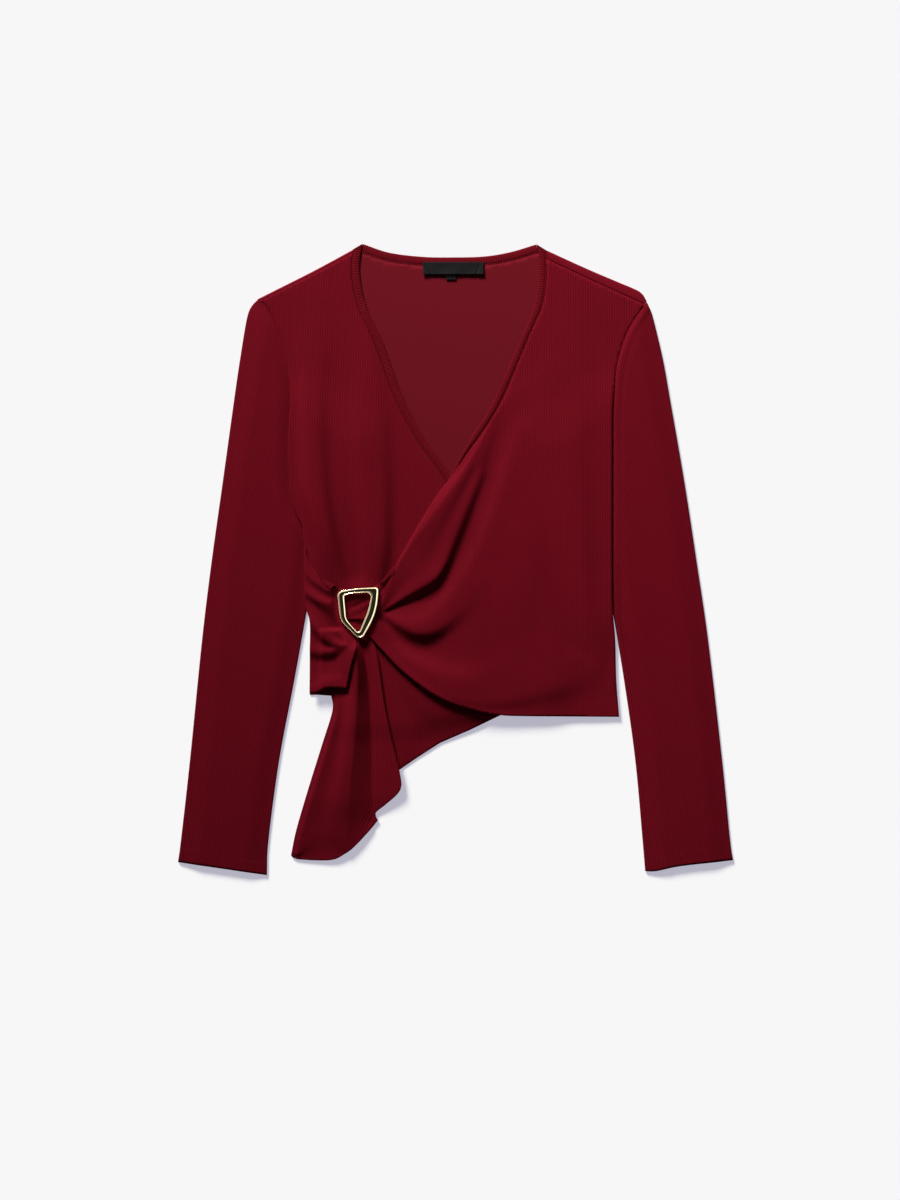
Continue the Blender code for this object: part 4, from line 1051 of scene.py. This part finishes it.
sleeveSizes = {
    "stations": 190,
    "across": 44,
    "bend": 7,  # rows around each fold
    "centreRows": 40,
    "headRows": 12,
    "headTuck": 2.2,
    "seamLift": {"left": 0.0, "right": 1.5},
    "hemStitch": 14.0,  # from the cuff
    "hemEnds": 2.0,  # from each fold to the first stitch
    "stitchLength": 2.3,
    "stitchPitch": 3.1,
    "stitchRadius": 0.14,
    "flat": (0.24, 0.60),
    "area": 0.105,
}
bodyOutline = chain(line["rightShoulder"], line["rightArmhole"], line["rightSide"], line["leftSide"][::-1],
                    line["leftArmhole"][::-1], line["leftShoulder"][::-1])


def makeSleeve(side):
    # a tube pressed flat: its sections run from the head, tucked under the body, to the open cuff
    outer, inner, cuff = (line[side + part] for part in ("Outer", "Inner", "Cuff"))
    sign = math.copysign(1, outer[0][0])
    head = chain(beside(line[side + "Armhole"], sign * sleeveSizes["headTuck"]), line[side + "Tuck"])
    outer = np.concatenate([head[:1], outer])
    acrossCount, bendCount = sleeveSizes["across"], sleeveSizes["bend"]

    def place(across, down):
        a, b = atShare(outer, down), atShare(inner, down)
        c, d = atShare(head, across), atShare(cuff, across)
        across, down = across[..., None], down[..., None]
        corners = (head[0] * (1 - across) + head[-1] * across) * (1 - down)
        corners = corners + (cuff[0] * (1 - across) + cuff[-1] * across) * down
        return a * (1 - across) + b * across + c * (1 - down) + d * down - corners

    down = np.linspace(0, 1, sleeveSizes["stations"])
    width = np.hypot(*(atShare(outer, down) - atShare(inner, down)).T)

    def wall(inset):
        # one skin of the tube, inset from its outside: under layer, inner fold, upper layer, outer fold
        half = sleeveHeight / 2 - inset
        bend = np.linspace(-np.pi / 2, np.pi / 2, bendCount)
        flat = np.linspace(0, 1, acrossCount)
        sections = [(share, -1, 0) for share in flat]
        sections += [(1, math.sin(angle), math.cos(angle)) for angle in bend[1:-1]]
        sections += [(share, 1, 0) for share in flat[::-1]]
        sections += [(0, math.sin(angle), -math.cos(angle)) for angle in bend[::-1][1:-1]]
        sections.append(sections[0])
        turn = (sleeveHeight / 2) / width
        points = np.empty((len(down), len(sections), 3))
        for k, (share, level, bulge) in enumerate(sections):
            across = turn + (1 - 2 * turn) * share + bulge * half / width
            spot = place(across, down)
            beyond = away(bodyOutline, *spot.T)
            crown = topSizes["sleeveCrown"] * np.sqrt(ramp(*steps["crownBody"], beyond))
            for edge in (outer, inner):
                crown = crown * ramp(*steps["crownEdge"], nearest(edge, *spot.T)[0])
            atSeam = ramp(*steps["seamRise"], beyond) * (1 - ramp(*steps["seamFall"], beyond))
            crown = crown + sleeveSizes["seamLift"][side] * atSeam
            points[:, k, :2] = spot
            points[:, k, 2] = sleeveHeight / 2 + half * level + (crown if level == 1 else 0)
        return points

    outside, within = wall(0), wall(cloth)
    points = np.concatenate([outside, within[::-1], outside[:1]])
    rows = np.linspace(0, 1, sleeveSizes["centreRows"])
    centre = (atShare(outer, rows) + atShare(inner, rows)) / 2
    above = centre[0] * 2 - centre[sleeveSizes["headRows"]]
    centre = np.concatenate([[above], centre])  # carried on above the sleeve's head
    flatPoints = points[:, :, :2].reshape(-1, 2)
    distance, which, _ = nearest(centre, *flatPoints.T)
    uv = np.stack([np.sign(which) * distance, flatPoints[:, 1]], axis=1).reshape(*points.shape[:2], 2)
    bm = rolledGrid(points, uv, False)
    piece = finishPiece("sleeve_" + side + "_tube", bm, jersey, ["sleeve_" + side])
    hem = np.argmin(np.abs(runLength(centre[1:])[-1] * (1 - down) - sleeveSizes["hemStitch"]))
    first = acrossCount + bendCount - 2
    upper = outside[hem, first : first + acrossCount]
    margin = sleeveSizes["hemEnds"]
    run = np.arange(margin, runLength(upper)[-1] - margin, sleeveSizes["stitchPitch"])
    places = np.stack([np.interp(run, runLength(upper), column) for column in upper.T], axis=1)
    bm = bmesh.new()
    stitches(bm, places, np.gradient(places, axis=0), sleeveSizes["stitchLength"],
             sleeveSizes["stitchRadius"])
    hemThread = finishPiece("sleeve_" + side + "_hem_thread", bm, thread, [])


makeSleeve("left")
makeSleeve("right")
print("sleeves")

ringSizes = {"thickness": 4.2}
# section of the ring: share of the way from the outer to the inner edge, share of the rims' height
ringSection = [
    (0.03, 0.0), (0.0, 0.06), (0.0, 0.5), (0.012, 0.76), (0.04, 0.93), (0.08, 1.0), (0.12, 0.98),
    (0.155, 0.88), (0.19, 0.8), (0.3, 0.81), (0.5, 0.82), (0.7, 0.81), (0.81, 0.8), (0.845, 0.88),
    (0.88, 0.98), (0.92, 1.0), (0.96, 0.93), (0.988, 0.76), (1.0, 0.5), (1.0, 0.06), (0.97, 0.0),
    (0.5, 0.0), (0.03, 0.0),
]


def makeRing():
    points = np.empty((len(ringOuter) + 1, len(ringSection), 3))
    for k, (share, rise) in enumerate(ringSection):
        points[:-1, k, :2] = ringOuter + (ringInner - ringOuter) * share
        points[:, k, 2] = topSizes["ringSeat"] + ringSizes["thickness"] * rise
    points[-1] = points[0]
    bm = rolledGrid(points, np.zeros((*points.shape[:2], 2)), False)
    finishPiece("gather_ring", bm, goldPlate, ["ring"])


makeRing()
print("ring")

labelSizes = {
    "thickness": 0.45,
    "curl": 0.9,
    "wave": 0.25,
    "pucker": 0.45,  # depth of the crease beside each end's stitches
    "creaseWidth": 0.9,
    "creaseFrom": 3.0,  # from the end at the top edge
    "creaseLean": 5.0,  # and further at the lower one
    "cells": {"neck_label": (72, 16), "size_tab": (16, 14)},
    "loose": {"neck_label": 1.0, "size_tab": 0.5},
    "flat": {"neck_label": (0.063, 0.0125), "size_tab": (0.0102, 0.0127)},
}


def makeLabel(node):
    # caught down by a bar of stitches at each upper corner, and standing off the cloth below them
    low, high = (np.array(corner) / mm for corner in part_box(node))
    cells, loose = labelSizes["cells"][node], labelSizes["loose"][node]
    bm = bmesh.new()
    bmesh.ops.create_grid(bm, x_segments=cells[0], y_segments=cells[1], size=0.5)
    grown = bmesh.ops.extrude_face_region(bm, geom=bm.faces[:])
    upperVerts = {item for item in grown["geom"] if isinstance(item, bmesh.types.BMVert)}
    for vert in bm.verts:
        across, down = vert.co.x, 0.5 - vert.co.y
        x, y = low[0] + (high[0] - low[0]) * (across + 0.5), high[1] - (high[1] - low[1]) * down
        z = low[2] + loose * labelSizes["curl"] * down**2
        z += loose * labelSizes["wave"] * (1 + math.sin(13 * across + 2 * down)) * down
        if node == "neck_label":
            fromEnd = (0.5 - abs(across)) * (high[0] - low[0])
            fromCrease = fromEnd - labelSizes["creaseFrom"] - labelSizes["creaseLean"] * down
            crease = math.exp(-(fromCrease / labelSizes["creaseWidth"])**2)
            z -= labelSizes["pucker"] * crease * (0.3 + down)
        z += labelSizes["thickness"] if vert in upperVerts else 0
        vert.co = Vector((x, y, z)) * mm
    piece = finishPiece(node + "_satin", bm, labelSatin, [node])


makeLabel("neck_label")
makeLabel("size_tab")
print("labels")


# floor, light and camera, in metres
studio = {
    "floorColour": "#CCCCBC",
    "floorGlow": (0.435, 0.43, 0.52),
    "floorLight": 5.5,
    "floorLightSpread": 17.0,  # degrees
    "floorHalf": 12.0,
    "floorDrop": 0.0002,
    "keyPower": 25.0,
    "keyPlace": (-0.95, 2.65, 1.35),
    "keyAim": (0.3, 0.25, 0.0),
    "keySize": 0.9,
    "keySpread": 60.0,  # degrees
    "fillPower": 0.06,
    "roomGlow": 2.6,  # the room as the polished ring sees it
    "roomSide": (-0.45, -0.45, 0.0),  # towards its bright side
    "roomSideEdge": (-0.5, 0.4, 0.12),  # where the bright side begins and is full, and the glow opposite
    "ceilingEdge": (0.75, 0.97),  # height at which it darkens, as the direction's upward part
    "ceilingGlow": 0.01,
    "cameraHeight": 2.5,
    "cameraPlace": (-0.0057, -0.0412),
    "lens": 72.8,
}


def makeFloor():
    bm = bmesh.new()
    bmesh.ops.create_grid(bm, x_segments=1, y_segments=1, size=studio["floorHalf"])
    mesh = bpy.data.meshes.new("floor")
    bm.to_mesh(mesh)
    bm.free()
    paper, _, shader = newMaterial("white studio paper")
    setNode(shader, {"Base Color": linear(studio["floorColour"]), "Roughness": 1.0, "Specular IOR Level": 0.0,
                     "Emission Color": (*studio["floorGlow"], 1), "Emission Strength": 1.0})
    mesh.materials.append(paper)
    floor = addThing("floor", mesh)
    floor.location.z = -studio["floorDrop"]
    return floor


def lightOnly(lamp, floor, state):
    # a feathered softbox lights the top, and an even one its paper, so that the paper stays evenly white
    lit = bpy.data.collections.new(lamp.name)
    lit.objects.link(floor)
    lit.collection_objects[0].light_linking.link_state = state
    lamp.light_linking.receiver_collection = lit


def makeLights(floor):
    beam = Vector(studio["keyPlace"]) - Vector(studio["keyAim"])
    turned = beam.to_track_quat("Z", "Y").to_euler()
    key = bpy.data.lights.new("key softbox", "AREA")
    key.energy = studio["keyPower"]
    key.size = studio["keySize"]
    key.spread = math.radians(studio["keySpread"])
    even = bpy.data.lights.new("paper softbox", "SUN")
    even.energy = studio["floorLight"]
    even.angle = math.radians(studio["floorLightSpread"])
    for lamp, state in ((key, "EXCLUDE"), (even, "INCLUDE")):
        stand = addThing(lamp.name, lamp)
        stand.location = studio["keyPlace"]
        stand.rotation_euler = turned
        lightOnly(stand, floor, state)


def makeRoom():
    # a white room with a dark ceiling; brighter, and brightest on one side, in the polished ring
    world = bpy.data.worlds.new("white room")
    bpy.context.scene.world = world
    world.use_nodes = True
    tree = world.node_tree
    direction = addNode(tree, "TexCoord").outputs["Generated"]
    height = addNode(tree, "SeparateXYZ", {0: direction}).outputs[2]
    low, high = studio["ceilingEdge"]
    ceiling = addNode(tree, "MapRange", {0: height, 1: low, 2: high, 3: 1.0, 4: studio["ceilingGlow"]})
    across = addNode(tree, "VectorMath", {"operation": "DOT_PRODUCT", 0: direction, 1: studio["roomSide"]})
    start, full, opposite = studio["roomSideEdge"]
    mirrored = addNode(tree, "MapRange", {0: across.outputs["Value"], 1: start, 2: full, 3: opposite,
                                          4: studio["roomGlow"]})
    glossy = addNode(tree, "LightPath").outputs["Is Glossy Ray"]
    glow = addNode(tree, "MapRange", {0: glossy, 3: studio["fillPower"], 4: mirrored})
    setNode(tree.nodes["Background"], {"Color": ceiling, "Strength": glow})


def makeCamera():
    camera = bpy.data.cameras.new("camera")
    camera.lens = studio["lens"]
    holder = addThing("camera", camera)
    holder.location = (*studio["cameraPlace"], studio["cameraHeight"])
    bpy.context.scene.camera = holder


makeLights(makeFloor())
makeRoom()
makeCamera()
bpy.context.scene.view_settings.view_transform = "Standard"
print("studio")
